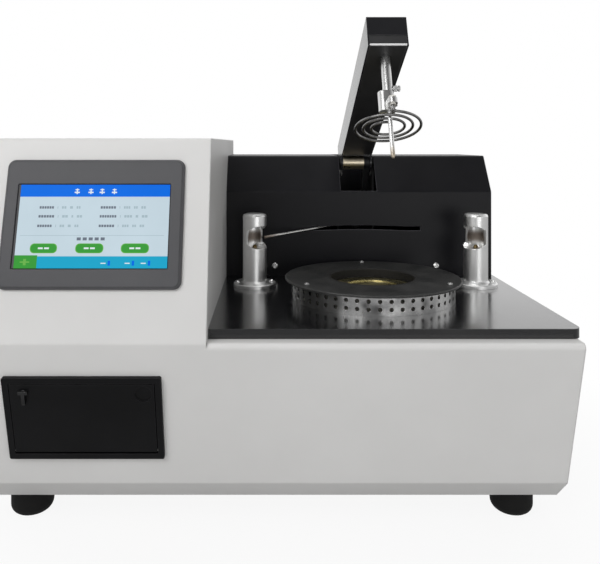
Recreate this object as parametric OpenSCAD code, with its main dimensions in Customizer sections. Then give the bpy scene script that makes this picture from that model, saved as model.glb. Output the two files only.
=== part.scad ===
// Automatic open-cup flash point tester for the lab bench.
// Sizes are in millimetres. In the modules, X runs to the right, Y back from the deck plate's front edge,
// and Z up from the deck plate's top face. placed() moves all that to the part's own frame,
// whose origin lies under the middle of the object, on the surface that the feet stand on.

/* [Cabinet] */
// Width of the white cabinet
case_w = 617; // [600:1:660]
// Depth from the fold in the front to the rear face
case_d = 457; // [450:1:500]
// Height of the cabinet under the deck plate
case_h = 183; // [175:1:210]
// Height of the tower above the deck's top face
tower_h = 191; // [186:1:230]
// Width of the tower that carries the screen
tower_w = 247; // [240:1:260]
// Lean of the front faces from upright
lean = 15; // [10:1:18]
// How far the fold stands in front of the deck plate
ledge = 19; // [12:1:26]
// Depth of the chamfer along the front's lower edge
toe_d = 28; // [20:1:36]
// Height of the chamfer along the front's lower edge
toe_h = 27; // [20:1:34]
// Thickness of the cabinet's sheet metal
sheet_t = 2; // [1.5:0.1:2.5]
// Outer radius of the sheet metal's bends
bend_r = 5; // [4:0.5:7]

/* [Deck and housing] */
// Thickness of the gloss black deck plate
deck_t = 10; // [6:0.5:14]
// How far the deck plate stands out over the cabinet's right side
deck_over = 5; // [3:0.5:10]
// Corner radius of the deck plate
deck_corner_r = 10; // [4:1:20]
// Distance from the deck's front edge to the housing's front face
housing_y = 269; // [262:1:274]
// Height of the housing's top above the deck
housing_h = 168; // [166:0.5:172]
// Height of the bend under the housing's sloping face
housing_bend_h = 118; // [108:1:124]
// Depth of the housing's sloping face
housing_slope_d = 35; // [28:1:42]
// Distance from the deck's right edge to the housing's right side
housing_inset = 3; // [1:0.5:8]
// Height of the housing screws above the deck
housing_screw_z = 14; // [11:1:20]

/* [Display] */
// Width of the screen's bezel
bezel_w = 183; // [176:1:196]
// Height of the screen's bezel
bezel_h = 132; // [124:1:144]
// How far the bezel stands out from the tower's face
bezel_t = 6; // [4:0.5:9]
// Corner radius of the bezel
bezel_r = 8; // [4:1:14]
// Width of the visible screen
screen_w = 156; // [150:1:164]
// Height of the visible screen
screen_h = 86; // [80:1:94]
// Distance from the fold up the tower's face to the bezel's middle
bezel_up = 118; // [110:1:124]
// Depth of the display module behind the panel
display_d = 26; // [15:1:40]

/* [Printer] */
// Width of the printer's bezel
printer_w = 157; // [152:1:170]
// Height of the printer's bezel
printer_h = 93.5; // [90:0.5:104]
// Distance from the fold down the face to the bezel's middle
printer_down = 81.5; // [78:0.5:86]
// Thickness of the printer's bezel and door
door_t = 4; // [3.5:0.1:5]
// Width of the printer's door
door_w = 143; // [136:1:145]
// Height of the printer's door
door_h = 79.5; // [74:0.5:80.5]
// Depth of the printer bay behind the panel
bay_d = 60; // [52:1:80]
// Radius of the paper roll
paper_r = 18; // [12:0.5:20]
// Width of the paper roll
paper_w = 57; // [40:1:80]

/* [Feet] */
// Height of the rubber feet
foot_h = 30; // [20:1:40]
// Diameter of a foot at its top
foot_d = 46; // [36:1:52]
// Radius of a foot's rounded lower edge
foot_round = 10; // [5:0.5:11]
// Spacing of the feet from left to right
foot_span = 536; // [480:1:550]
// Distance from the cabinet's flat bottom edge to a front foot's middle
foot_back = 30; // [28:1:60]

/* [Heater] */
// Distance from the deck's front edge to the cup's axis
cup_y = 145; // [135:1:152]
// Distance of the cup's axis to the right of the deck's middle
cup_side = 1; // [-3:0.5:4]
// Diameter of the flange disc
flange_d = 212; // [204:1:222]
// Thickness of the flange disc
flange_t = 2.5; // [1.5:0.1:4]
// Diameter of the opening that takes the cup
well_d = 101; // [90:0.5:110]
// Diameter of the perforated band
band_d = 196; // [190:1:200]
// Wall of the perforated band
band_t = 1.5; // [1:0.1:2.5]
// Height of the perforated band
band_h = 21.3; // [16:0.1:26]
// Diameter of the band's holes
band_hole_d = 4.8; // [3:0.1:5]
// Number of holes in each row round the band
band_holes = 50; // [40:2:54]
// Radius of the circle of flange screws
flange_screw_r = 95; // [94:0.1:95.2]
// Depth of the cup's seat under the flange's top
well_depth = 11; // [8:0.5:14]

/* [Posts] */
// Distance from the deck's side edge to a post's axis
post_in = 40.5; // [34:0.5:46]
// Distance from the deck's front edge to the posts' axes
post_y = 205; // [200:1:212]
// Diameter of a post
post_d = 31; // [28:0.5:33]
// Height of a post
post_h = 94; // [88:1:104]
// Diameter of a post's foot flange
post_base_d = 55; // [50:0.5:56]
// Height of a post's foot flange
post_base_h = 5; // [4:0.5:9]
// Height of the notch in a post
notch_h = 29; // [24:0.5:31]
// Height of the notch's middle above the deck
notch_z = 64; // [60:0.5:66]

/* [Igniter] */
// Distance from the deck's front edge to the igniter's pivot
igniter_y = 319; // [316:1:321]
// How far the ignition tube's tip stops short of a post's axis
tip_back = 16.5; // [16:0.5:24]
// Diameter of the ignition tube
tube_d = 3.6; // [2.5:0.1:4]
// Height of the tube's tip above the deck
tube_tip_z = 61.5; // [60:0.5:62]
// Fall of the tube from pivot to tip
tube_fall = 3.2; // [2:0.1:4]
// Diameter of the igniter's motor
igniter_motor_d = 28; // [20:1:32]

/* [Head arm] */
// Width of the head arm
arm_w = 43; // [40:0.5:46]
// Height of the head arm
arm_h = 36; // [32:0.5:38]
// Wall of the head arm's cover
arm_t = 2; // [1.5:0.1:2.5]
// Angle of the raised arm above level
arm_raise = 24.5; // [20:0.5:28]
// Distance from the deck's front edge to the raised arm's lower front edge
arm_end_y = 31; // [28:1:36]
// Height of the raised arm's lower front edge above the deck
arm_end_z = 288; // [284:1:290]
// Height of the arm's underside above the deck when it is lowered
arm_low_z = 140; // [139:0.5:142]
// Distance along the arm from its front end to its pin
pin_back = 301.4; // [300:0.1:303]
// Distance of the pin below the arm's underside
pin_drop = 5.3; // [4.5:0.1:6]
// Diameter of the arm's pin
pin_d = 8; // [6:0.5:10]
// Diameter of the brass bush on the pin
bush_d = 20; // [16:0.5:21]

/* [Lift] */
// Turn of the crank from raised to lowered
crank_swing = 90; // [85:1:95]
// Thickness of the crank
crank_t = 8; // [6:0.5:9]
// Diameter of the lift shaft
shaft_d = 10; // [8:0.5:12]
// Thickness of a guide plate
guide_t = 3; // [2.5:0.5:4]
// Distance along the arm from its pin to its tail rollers
tail_back = 28; // [27:0.5:29]
// Diameter of a tail roller
roller_d = 8; // [6:0.5:9]

/* [Probe and ring] */
// Distance along the arm from its front end to the probe's axis
probe_back = 24; // [22:0.5:25]
// Diameter of the probe rod
probe_d = 4.6; // [3:0.1:4.8]
// Distance from the arm's underside to the probe's tip
probe_reach = 118; // [112:0.5:120]
// Diameter of the probe holder's upper tube
holder_d = 10.5; // [9:0.1:12]
// Diameter of the probe holder's clamp
clamp_d = 12.6; // [12:0.1:14]
// Length of the probe holder
holder_l = 66; // [62:0.5:67]
// Distance from the probe's axis back to the ring's middle
ring_back = 26; // [25.5:0.1:26.5]
// Distance from the arm's underside to the ring's plane
ring_down = 71; // [70:0.5:71.5]
// Radius of the detection ring's outer end
ring_r = 38.7; // [38.2:0.1:39.2]
// Spacing of the detection ring's turns
ring_pitch = 8.6; // [8.4:0.1:8.8]
// Number of turns of the detection ring
ring_turns = 3; // [2:1:4]
// Diameter of the detection ring's wire
wire_d = 3; // [2:0.1:3.1]

/* [Services] */
// Side of the square fan
fan_w = 60; // [50:1:70]
// Depth of the fan
fan_d = 20; // [15:1:25]
// Outer diameter of the gas spigot
spigot_d = 8; // [6:0.5:10]
// Length of the gas spigot's plain end
spigot_l = 12; // [10:1:20]

/* [Fits] */
// Radial clearance of a running fit
fit = 0.05; // [0.02:0.01:0.08]
// Gap between parts that don't touch
gap = 0.3; // [0.2:0.1:0.6]

/* [Hidden] */
$fn = 48;
little = 0.01;

// Places that several parts share
case_left = -(case_w + deck_over) / 2;
case_right = case_left + case_w;
tower_right = case_left + tower_w;
tower_mid = (case_left + tower_right) / 2;
deck_right = case_right + deck_over;
fold_y = -ledge;
fold_z = -deck_t;
rear_y = fold_y + case_d;
case_bottom = fold_z - case_h;
floor_z = case_bottom - foot_h;
rear_out = spigot_l + 4;
mid_y = (fold_y + rear_y + rear_out) / 2;
inner_rear_y = rear_y - sheet_t;

// Side outline of the cabinet, from the tower's rear top edge round the front to the bottom
brow = [fold_y + (tower_h - fold_z) * tan(lean), tower_h];
fold = [fold_y, fold_z];
sill = [fold_y + (case_h - toe_h) * tan(lean), case_bottom + toe_h];
toe = [sill[0] + toe_d, case_bottom];
lip_d = 20;
tower_lip = [brow[0] + lip_d, tower_h];
ledge_lip = [fold_y + ledge + lip_d, fold_z];
toe_lip = [toe[0] + lip_d, case_bottom];

// Housing, deck and heater
cup_x = (tower_right + case_right) / 2 + cup_side;
post_dx = (case_right - tower_right) / 2 - post_in;
housing_right = deck_right - housing_inset;
arm_slot_gap = 3.8;
arm_slot_w = arm_w + 2 * arm_slot_gap;
arm_slot_end = inner_rear_y - 2.5;
igniter_slot_ease = [5, 24];
igniter_slot_gap = 1;
housing_screw_left = 68;
housing_screw_right = 78;
flange_top = band_h + flange_t;
hole_row_z = 7;
hole_row_edge = 5.6;
seat_z = flange_top - well_depth;
pan_d = 182;
pan_depth = 62;
pan_t = 1.5;
pan_rim_d = band_d - 2 * band_t - 2;
element_t = 6;
plate_t = 20;
collar_t = 0.8;
collar_h = band_h - seat_z - gap;
flange_screw_d = 2.4;
post_screw_r = 22;
post_screw_d = 4;
post_screw_head = 6.5;
nozzle_d = 6;
nozzle_sunk = 10;

// Igniter
notch_turn = 39.5;
notch_bore_d = 23;
notch_corner_r = 7;
notch_step = 0.5;
notch_floor = notch_z - notch_h / 2;
igniter_turn = atan2(post_dx, igniter_y - post_y);
igniter_reach = norm([post_dx, igniter_y - post_y]) - tip_back;
hub_d = 18;
hub_h = 16;
igniter_shaft_d = 6;
tube_root_z = tube_tip_z + igniter_reach * tan(tube_fall);
hub_z = tube_root_z - hub_h / 2;
igniter_motor_h = 50;

// Head arm and lift: directions in the Y-Z plane, with the arm raised by an angle
function backward(a) = [cos(a), -sin(a)];
function upward(a) = [sin(a), cos(a)];
function wheel(a) = [cos(a), sin(a)];
ring_from_end = probe_back + ring_back;
pin_raised = [arm_end_y, arm_end_z] + pin_back * backward(arm_raise) - pin_drop * upward(arm_raise);
pin_lowered = [cup_y - ring_from_end, arm_low_z] + pin_back * backward(0) - pin_drop * upward(0);
pin_move = pin_lowered - pin_raised;
pin_span = norm(pin_move);
crank_axis = (pin_raised + pin_lowered) / 2
    + [pin_move[1], -pin_move[0]] / pin_span * (pin_span / 2) / tan(crank_swing / 2);
crank_r = norm(pin_raised - crank_axis);
crank_up = atan2(pin_raised[1] - crank_axis[1], pin_raised[0] - crank_axis[0]);
tail_drop = 5;
tail_lug_r = 7;
pin_lug_r = 10;
arm_l = pin_back + tail_back + tail_lug_r;
arm_inner = arm_w / 2 - arm_t;
cap_rise = 13.5;
cap_step = 0.6;
lip_out = 1;
base_end = pin_back - 15;
crank_x1 = arm_inner - 0.5;
crank_x0 = crank_x1 - crank_t;
crank_web = 12;
guide_gap = 2.7;
guide_x = arm_w / 2 + guide_gap;
guide_y0 = igniter_y - 11;
guide_y1 = inner_rear_y - 2;
guide_top = housing_h - sheet_t - 1;
guide_foot = 14;
slot_steps = 12;
gearbox_d = 40;
gearbox_l = 26;
lift_motor_d = 32;
lift_motor_l = 46;
gearbox_x = guide_x + guide_t;
function pin_at(k) = crank_axis + crank_r * wheel(crank_up - crank_swing * k);
function tail_at(k) = pin_at(k) + tail_back * backward(arm_raise * (1 - k))
    - tail_drop * upward(arm_raise * (1 - k));

// Probe and ring
holder_tube_l = 43;
clamp_h = holder_l - holder_tube_l;
ring_start = 8;
ear_w = 10;
ear_t = 6;
ear_z = -holder_l + 3;
ring_bush_d = 6;
clamp_side = 4.6;
ring_steps = 24;
wire_bend_r = 4;
wire_leg = ear_z + ear_t + 3 + ring_down - wire_bend_r;

// Display and printer
panel_gap = 0.5;
screen_drop = 3;
door_gap = 0.8;
door_drop = 0;
latch_x = door_w / 2 - 14;
dimple_x = door_w / 2 - 11;
latch_v = door_h / 2 - 8;
cutout_w = door_w + 6;
cutout_h = door_h + 7;
bay_t = 3;
door_axis_v = -door_h / 2 + 2.5;
door_pin_d = 2;
roll_v = -14;
roll_w = -bay_d / 2 - 2;
platen_r = 5;
platen_v = 22;
platen_w = -15;
spindle_d = 6;
roller_shaft_d = 4;

// Bent sheet metal: outlines in the Y-Z plane
bend_steps = 6;
function unit(v) = v / norm(v);
function leftward(v) = [-v[1], v[0]];
function short_turn(a) = a > 180 ? a - 360 : a < -180 ? a + 360 : a;
function bend_at(a, b, c, r) =
    let (u = unit(a - b), w = unit(c - b))
    let (half = acos(u * w) / 2, mid = b + unit(u + w) * r / sin(half))
    let (p = b + u * r / tan(half) - mid, q = b + w * r / tan(half) - mid)
    let (a0 = atan2(p[1], p[0]), turn = short_turn(atan2(q[1], q[0]) - a0))
    [for (i = [0 : bend_steps]) mid + r * wheel(a0 + turn * i / bend_steps)];
function bent(pts, r) = [
    pts[0],
    for (i = [1 : len(pts) - 2]) each bend_at(pts[i - 1], pts[i], pts[i + 1], r),
    pts[len(pts) - 1]];
function normal_before(pts, i) = leftward(unit(pts[max(i, 1)] - pts[max(i, 1) - 1]));
function normal_after(pts, i) =
    leftward(unit(pts[min(i, len(pts) - 2) + 1] - pts[min(i, len(pts) - 2)]));
function side_step(pts, d) = [for (i = [0 : len(pts) - 1])
    let (n1 = normal_before(pts, i), n2 = normal_after(pts, i))
    pts[i] + d * (n1 + n2) / (1 + n1 * n2)];
function turned_back(pts) = [for (i = [len(pts) - 1 : -1 : 0]) pts[i]];
function sheet(pts, t) = concat(pts, turned_back(side_step(pts, t)));

// Moves what follows into the part's own frame
module placed() translate([0, -mid_y, -floor_z]) children();

// Extrudes a Y-Z outline along X
module along_x(x0, x1) translate([x0, 0, 0]) rotate([90, 0, 90]) linear_extrude(x1 - x0) children();

// Cylinder along X through a point of the Y-Z plane
module rod_x(x0, x1, at, d) translate([x0, at[0], at[1]]) rotate([0, 90, 0]) cylinder(h = x1 - x0, d = d);

// Cylinder along Y through a point of the X-Z plane
module rod_y(y0, y1, at, d) translate([at[0], y1, at[1]]) rotate([90, 0, 0]) cylinder(h = y1 - y0, d = d);

// Frames of the tower's face and the lower face: X right, Y up the face, Z out of it
module on_tower() placed() translate([0, fold_y, fold_z]) rotate([90 - lean, 0, 0]) children();
module on_front() placed() translate([0, fold_y, fold_z]) rotate([90 + lean, 0, 0]) children();
module at_display() on_tower() translate([tower_mid + 6, bezel_up, 0]) children();
module at_printer() on_front() translate([tower_mid, -printer_down, 0]) children();

// Frame of the raised arm: X across, Y back along its underside from the front end, Z up through it
module on_arm() placed() translate([cup_x, arm_end_y, arm_end_z]) rotate([-arm_raise, 0, 0]) children();

// Flat plate with round corners, centred on the origin
module round_plate(w, h, t, r) {
    linear_extrude(t) {
        square([w - 2 * r, h], center = true);
        square([w, h - 2 * r], center = true);
        for (x = [-1, 1], y = [-1, 1]) translate([x * (w / 2 - r), y * (h / 2 - r)]) circle(r);
    }
}

// Box given by two opposite corners
module block(low, high) translate(low) cube(high - low);

// Screw with a domed head on the plane Z = 0 and its shank below
module dome_screw(head_d, shank_d, shank_l) {
    rotate_extrude() polygon([
        [0, -shank_l], [shank_d / 2, -shank_l], [shank_d / 2, 0], [head_d / 2, 0],
        [head_d / 2, head_d * 0.12], [head_d * 0.4, head_d * 0.26], [head_d * 0.2, head_d * 0.36],
        [0, head_d * 0.38]]);
}

// Cabinet

inner_outline = side_step(bent([[inner_rear_y, tower_h], brow, fold, sill, toe, [inner_rear_y, case_bottom]],
    bend_r), sheet_t);
inner_outline_low = side_step(bent([[inner_rear_y, fold_z], fold, sill, toe, [inner_rear_y, case_bottom]],
    bend_r), sheet_t);

foot_front_y = toe[0] + foot_back;
foot_rear_y = rear_y - 50;
foot_screw_d = 5;
feet_at = [for (x = [-1, 1], y = [foot_front_y, foot_rear_y]) [x * foot_span / 2, y]];

module base_pan() {
    lip = 15;
    color("gainsboro") placed() difference() {
        union() {
            block([case_left, toe_lip[0] + gap, case_bottom],
                [case_right, inner_rear_y, case_bottom + sheet_t]);
            for (x = [case_left + sheet_t, case_right - 2 * sheet_t])
                block([x, toe_lip[0] + gap, case_bottom + little],
                    [x + sheet_t, inner_rear_y, case_bottom + sheet_t + lip]);
        }
        for (at = feet_at) translate([at[0], at[1], case_bottom - 1])
            cylinder(h = sheet_t + 2, d = foot_screw_d + 0.4);
    }
}

module front_panel() {
    color("whitesmoke") {
        difference() {
            placed() {
                along_x(case_left, tower_right)
                    polygon(sheet(bent([tower_lip, brow, fold, sill, toe, toe_lip], bend_r), sheet_t));
                along_x(tower_right, case_right)
                    polygon(sheet(bent([ledge_lip, fold, sill, toe, toe_lip], bend_r), sheet_t));
            }
            at_display() translate([0, 0, -sheet_t - 1])
                round_plate(screen_w + 8, screen_h + 26, sheet_t + 2, 3);
            at_printer() translate([0, -door_drop, -sheet_t - 1])
                round_plate(cutout_w, cutout_h, sheet_t + 2, 2);
        }
    }
}

module side_left() {
    color("whitesmoke") placed() along_x(case_left, case_left + sheet_t) polygon(inner_outline);
}

module side_right() {
    color("whitesmoke") placed() along_x(case_right - sheet_t, case_right) polygon(inner_outline_low);
}

module tower_cover() {
    color("whitesmoke") placed() {
        block([case_left, tower_lip[0] + gap, tower_h - sheet_t], [tower_right, rear_y, tower_h]);
        block([tower_right - sheet_t, tower_lip[0] + gap, tower_h - 2 * sheet_t],
            [tower_right, inner_rear_y, tower_h]);
        along_x(tower_right - sheet_t, tower_right) intersection() {
            polygon(inner_outline);
            translate([fold_y, fold_z]) square([case_d, tower_h - fold_z]);
        }
    }
}

// Places of the openings in the rear panel, as X and Z
fan_at = [case_left + 90, case_bottom + 75];
inlet_at = [case_right - 60, case_bottom + 70];
spigot_at = [cup_x - 40, case_bottom + 60];
inlet_w = 28;
inlet_h = 48;
panel_screw_d = 3;
panel_screws = concat(
    [for (x = [case_left + 12, tower_mid, tower_right - 12], z = [case_bottom + 12, tower_h - 12]) [x, z]],
    [for (z = [case_bottom + 12, fold_z - 12]) [case_right - 12, z]]);

module rear_panel() {
    vent_slots = 5;
    vent_pitch = 9;
    color("whitesmoke") placed() difference() {
        union() {
            block([case_left, inner_rear_y, case_bottom], [tower_right, rear_y, tower_h - sheet_t]);
            block([tower_right - little, inner_rear_y, case_bottom], [case_right, rear_y, fold_z]);
        }
        for (i = [0 : vent_slots - 1]) {
            rise = (i - (vent_slots - 1) / 2) * vent_pitch;
            half = sqrt(pow(fan_w / 2 - 5, 2) - rise * rise);
            block([fan_at[0] - half, inner_rear_y - 1, fan_at[1] + rise - 2.5],
                [fan_at[0] + half, rear_y + 1, fan_at[1] + rise + 2.5]);
        }
        block([inlet_at[0] - inlet_w / 2, inner_rear_y - 1, inlet_at[1] - inlet_h / 2],
            [inlet_at[0] + inlet_w / 2, rear_y + 1, inlet_at[1] + inlet_h / 2]);
        rod_y(inner_rear_y - 1, rear_y + 1, spigot_at, spigot_d + 2 * gap);
        for (at = panel_screws) rod_y(inner_rear_y - 1, rear_y + 1, at, panel_screw_d + 0.4);
    }
}

module sub_deck() {
    color("silver") placed() difference() {
        block([tower_right, ledge_lip[0] + gap, fold_z - sheet_t], [case_right, inner_rear_y, fold_z]);
        translate([cup_x, cup_y, fold_z - sheet_t - 1]) cylinder(h = sheet_t + 2, d = pan_d + 4);
    }
}

module deck_plate() {
    color("black") placed() difference() {
        block([tower_right, 0, -deck_t], [deck_right, rear_y, 0]);
        translate([deck_right - deck_corner_r, deck_corner_r, -deck_t / 2]) difference() {
            translate([0, -deck_corner_r - 1, -deck_t])
                cube([deck_corner_r + 1, deck_corner_r + 1, 2 * deck_t]);
            cylinder(h = 3 * deck_t, r = deck_corner_r, center = true);
        }
        translate([cup_x, cup_y, -deck_t - 1]) cylinder(h = deck_t + 2, d = pan_d + 1);
        for (side = [-1, 1], turn = [-1, 1])
            translate([cup_x + side * post_dx, post_y, -deck_t - 1]) at_post_screw(side, turn)
                cylinder(h = deck_t + 2, d = post_screw_d + 0.4);
    }
}

// The igniter's slot follows the height of the tube where it comes through the housing's front
slot_dy = igniter_y - housing_y - sheet_t / 2;
slot_crossing = slot_dy * tan(igniter_turn);
slot_left = -slot_crossing - igniter_slot_ease[0];
slot_right = slot_crossing + igniter_slot_ease[1];
slot_x = [for (i = [0 : 16]) slot_left + (slot_right - slot_left) * i / 16];
function tube_height(x) = tube_root_z - min(norm([x, slot_dy]), slot_dy / cos(igniter_turn)) * tan(tube_fall);
igniter_slot_half = tube_d / 2 + igniter_slot_gap;
housing_screw_x = [tower_right + housing_screw_left, housing_right - housing_screw_right];

module rear_housing() {
    front = [housing_y, 0];
    shoulder = [housing_y, housing_bend_h];
    brink = [housing_y + housing_slope_d, housing_h];
    path = [[rear_y, housing_h], brink, shoulder, front];
    wall = side_step(bent(path, bend_r), sheet_t / 2);
    side = concat([[inner_rear_y + little, 0], [inner_rear_y + little, housing_h - sheet_t / 2]],
        [for (i = [1 : len(wall) - 1]) wall[i]]);
    color("dimgray") placed() difference() {
        union() {
            along_x(tower_right, housing_right) polygon(sheet(bent(path, bend_r), sheet_t));
            for (x = [tower_right, housing_right - sheet_t]) along_x(x, x + sheet_t) polygon(side);
            block([tower_right, inner_rear_y, 0], [housing_right, rear_y, housing_h - sheet_t]);
        }
        block([cup_x - arm_slot_w / 2, housing_y - 1, housing_bend_h + 1],
            [cup_x + arm_slot_w / 2, arm_slot_end, housing_h + 1]);
        translate([cup_x, housing_y + sheet_t + 1, 0]) rotate([90, 0, 0]) linear_extrude(sheet_t + 2)
            polygon(concat([for (x = slot_x) [x, tube_height(x) + igniter_slot_half]],
                [for (i = [len(slot_x) - 1 : -1 : 0])
                    [slot_x[i], tube_height(slot_x[i]) - igniter_slot_half]]));
        for (x = housing_screw_x)
            rod_y(housing_y - 1, housing_y + sheet_t + 1, [x, housing_screw_z], 4.4);
    }
}

module housing_screws() {
    color("silver") placed() for (x = housing_screw_x)
        translate([x, housing_y, housing_screw_z]) rotate([90, 0, 0]) dome_screw(9, 4, 8);
}

module case_screws() {
    color("silver") placed() {
        for (at = panel_screws) translate([at[0], rear_y, at[1]]) rotate([-90, 0, 0])
            dome_screw(6, panel_screw_d, 7);
        for (at = feet_at) translate([at[0], at[1], floor_z]) foot_screw();
    }
}

// Feet, and the screws and nuts that hold them

module feet() {
    color("black") placed() for (at = feet_at) translate([at[0], at[1], floor_z]) difference() {
        rotate_extrude() polygon([
            [0, 0],
            for (a = [0 : 15 : 90]) [foot_d / 2 - foot_round * (1 - sin(a)), foot_round * (1 - cos(a))],
            [foot_d / 2, foot_h], [0, foot_h]]);
        translate([0, 0, -1]) cylinder(h = 9, d = 12);
        translate([0, 0, -1]) cylinder(h = foot_h + 2, d = foot_screw_d + 0.4);
    }
}

module foot_screw() {
    head_h = 4;
    translate([0, 0, 8 - head_h]) cylinder(h = head_h, d = 9.5);
    translate([0, 0, 8 - little]) cylinder(h = foot_h + sheet_t - 2, d = foot_screw_d);
    translate([0, 0, foot_h + sheet_t]) cylinder(h = head_h, d = 9.2, $fn = 6);
}

// Display

module display_bezel() {
    color("dimgray") at_display() difference() {
        hull() {
            round_plate(bezel_w, bezel_h, bezel_t * 0.5, bezel_r, $fn = 32);
            round_plate(bezel_w - 5, bezel_h - 5, bezel_t, bezel_r - 2, $fn = 32);
        }
        translate([0, -screen_drop, -1]) round_plate(screen_w, screen_h, bezel_t + 2, 1);
    }
}

module display_glass() {
    color("royalblue") at_display() translate([0, -screen_drop, bezel_t - 3])
        round_plate(screen_w - 2 * panel_gap, screen_h - 2 * panel_gap, 2, 0.5);
}

module display_module() {
    color("darkgray") at_display() {
        translate([0, 0, -display_d]) round_plate(screen_w + 6, screen_h + 24, display_d, 2);
        translate([0, -screen_drop, 0])
            round_plate(screen_w - 2 * panel_gap, screen_h - 2 * panel_gap, bezel_t - 3, 0.5);
    }
}

// Printer

module printer_bezel() {
    color("black") at_printer() difference() {
        round_plate(printer_w, printer_h, door_t, 2);
        translate([0, -door_drop, -1])
            round_plate(door_w + 2 * door_gap, door_h + 2 * door_gap, door_t + 2, 1);
        translate([0, -door_drop, 0]) rod_x(-door_w / 2 - 4.5, door_w / 2 + 4.5, [door_axis_v, door_t / 2],
            door_pin_d + 2 * fit);
    }
}

module printer_bay() {
    w = cutout_w + 2 * bay_t;
    h = cutout_h + 2 * bay_t;
    color("black") at_printer() translate([0, -door_drop, -sheet_t]) difference() {
        translate([-w / 2, -h / 2, -bay_d]) cube([w, h, bay_d]);
        translate([-cutout_w / 2, -cutout_h / 2, -bay_d + bay_t]) cube([cutout_w, cutout_h, bay_d]);
        rod_x(-w, w, [roll_v, roll_w], spindle_d + 2 * fit);
        rod_x(-w, w, [platen_v, platen_w], roller_shaft_d + 2 * fit);
    }
}

module printer_door() {
    color("black") at_printer() translate([0, -door_drop, 0]) difference() {
        union() {
            block([-door_w / 2, -door_h / 2 + 2.5, 0], [door_w / 2, door_h / 2, door_t]);
            rod_x(-door_w / 2, door_w / 2, [door_axis_v, door_t / 2], door_t);
        }
        rod_x(-door_w, door_w, [door_axis_v, door_t / 2], door_pin_d + 2 * fit);
        translate([-latch_x, latch_v, -1]) cylinder(h = door_t + 2, d = 4 + 2 * fit);
        translate([dimple_x, latch_v - 3, door_t - 1.5]) cylinder(h = 3, d = 17);
    }
}

module door_pin() {
    color("silver") at_printer() translate([0, -door_drop, 0])
        rod_x(-door_w / 2 - 4, door_w / 2 + 4, [door_axis_v, door_t / 2], door_pin_d);
}

module door_latch() {
    color("silver") at_printer() translate([-latch_x, latch_v - door_drop, 0]) {
        translate([0, 0, -2.5]) cylinder(h = door_t + 3, d = 4);
        translate([-4.5, -1.5, door_t + gap]) cube([9, 3, 3]);
        translate([-1.5, -13, door_t + gap]) cube([3, 13, 3]);
        translate([-2.5, -2.5, -2.5]) cube([13, 5, 2.2]);
    }
}

module printer_module() {
    color("slategray") at_printer() translate([0, -door_drop, -sheet_t]) {
        translate([-42, 8, -bay_d + bay_t]) cube([84, 30, 20]);
        translate([-30, platen_v - 7, -bay_d + bay_t + 20 - little])
            cube([60, 14, bay_d - bay_t - 20 + platen_w - platen_r - gap]);
    }
}

module platen_roller() {
    color("dimgray") at_printer() translate([0, -door_drop, -sheet_t]) {
        rod_x(-29, 29, [platen_v, platen_w], 2 * platen_r);
        rod_x(-cutout_w / 2 - bay_t + 0.5, cutout_w / 2 + bay_t - 0.5, [platen_v, platen_w], roller_shaft_d);
    }
}

module paper_roll() {
    color("white") at_printer() translate([0, -door_drop, -sheet_t]) difference() {
        rod_x(-paper_w / 2, paper_w / 2, [roll_v, roll_w], 2 * paper_r);
        rod_x(-paper_w, paper_w, [roll_v, roll_w], spindle_d + 2 * fit);
    }
}

module paper_spindle() {
    color("silver") at_printer() translate([0, -door_drop, -sheet_t])
        rod_x(-cutout_w / 2 - bay_t + 0.5, cutout_w / 2 + bay_t - 0.5, [roll_v, roll_w], spindle_d);
}

// Heater

module at_cup() placed() translate([cup_x, cup_y, 0]) children();

module heater_pan() {
    color("silver") at_cup() difference() {
        union() {
            translate([0, 0, -pan_depth]) cylinder(h = pan_depth + pan_t, d = pan_d);
            cylinder(h = pan_t, d = pan_rim_d);
        }
        translate([0, 0, -pan_depth + pan_t]) cylinder(h = pan_depth + 1, d = pan_d - 2 * pan_t);
    }
}

module insulation() {
    floor_top = seat_z - plate_t - element_t;
    color("lightgray") at_cup() difference() {
        translate([0, 0, -pan_depth + pan_t])
            cylinder(h = band_h + pan_depth - pan_t, d = pan_d - 2 * pan_t - 1);
        translate([0, 0, floor_top]) cylinder(h = 100, d = well_d + 2);
    }
}

module heating_element() {
    color("gray") at_cup() translate([0, 0, seat_z - plate_t - element_t]) difference() {
        cylinder(h = element_t, d = well_d - 3);
        translate([0, 0, -1]) cylinder(h = element_t + 2, d = 30);
    }
}

module heating_plate() {
    color("goldenrod") at_cup() translate([0, 0, seat_z - plate_t]) difference() {
        cylinder(h = plate_t, d = well_d + 1);
        translate([0, 0, plate_t - 1.5]) cylinder(h = 3, d = 66);
    }
}

module heater_band() {
    row_z = [hole_row_z, band_h - hole_row_edge];
    boss_d = 7;
    color("silver") at_cup() difference() {
        union() {
            difference() {
                cylinder(h = band_h, d = band_d);
                translate([0, 0, -1]) cylinder(h = band_h + 2, d = band_d - 2 * band_t);
            }
            for (a = [90, 210, 330]) rotate(a) translate([band_d / 2 - 1 - boss_d / 2, 0, 8])
                cylinder(h = band_h - 8, d = boss_d);
        }
        for (a = [90, 210, 330]) rotate(a) translate([flange_screw_r, 0, 10])
            cylinder(h = band_h, d = flange_screw_d + 2 * fit);
        for (i = [0 : band_holes - 1], z = row_z)
            rotate(i * 360 / band_holes) translate([band_d / 2 - band_t - 1, 0, z]) rotate([0, 90, 0])
                cylinder(h = band_t + 2, d = band_hole_d);
    }
}

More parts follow.
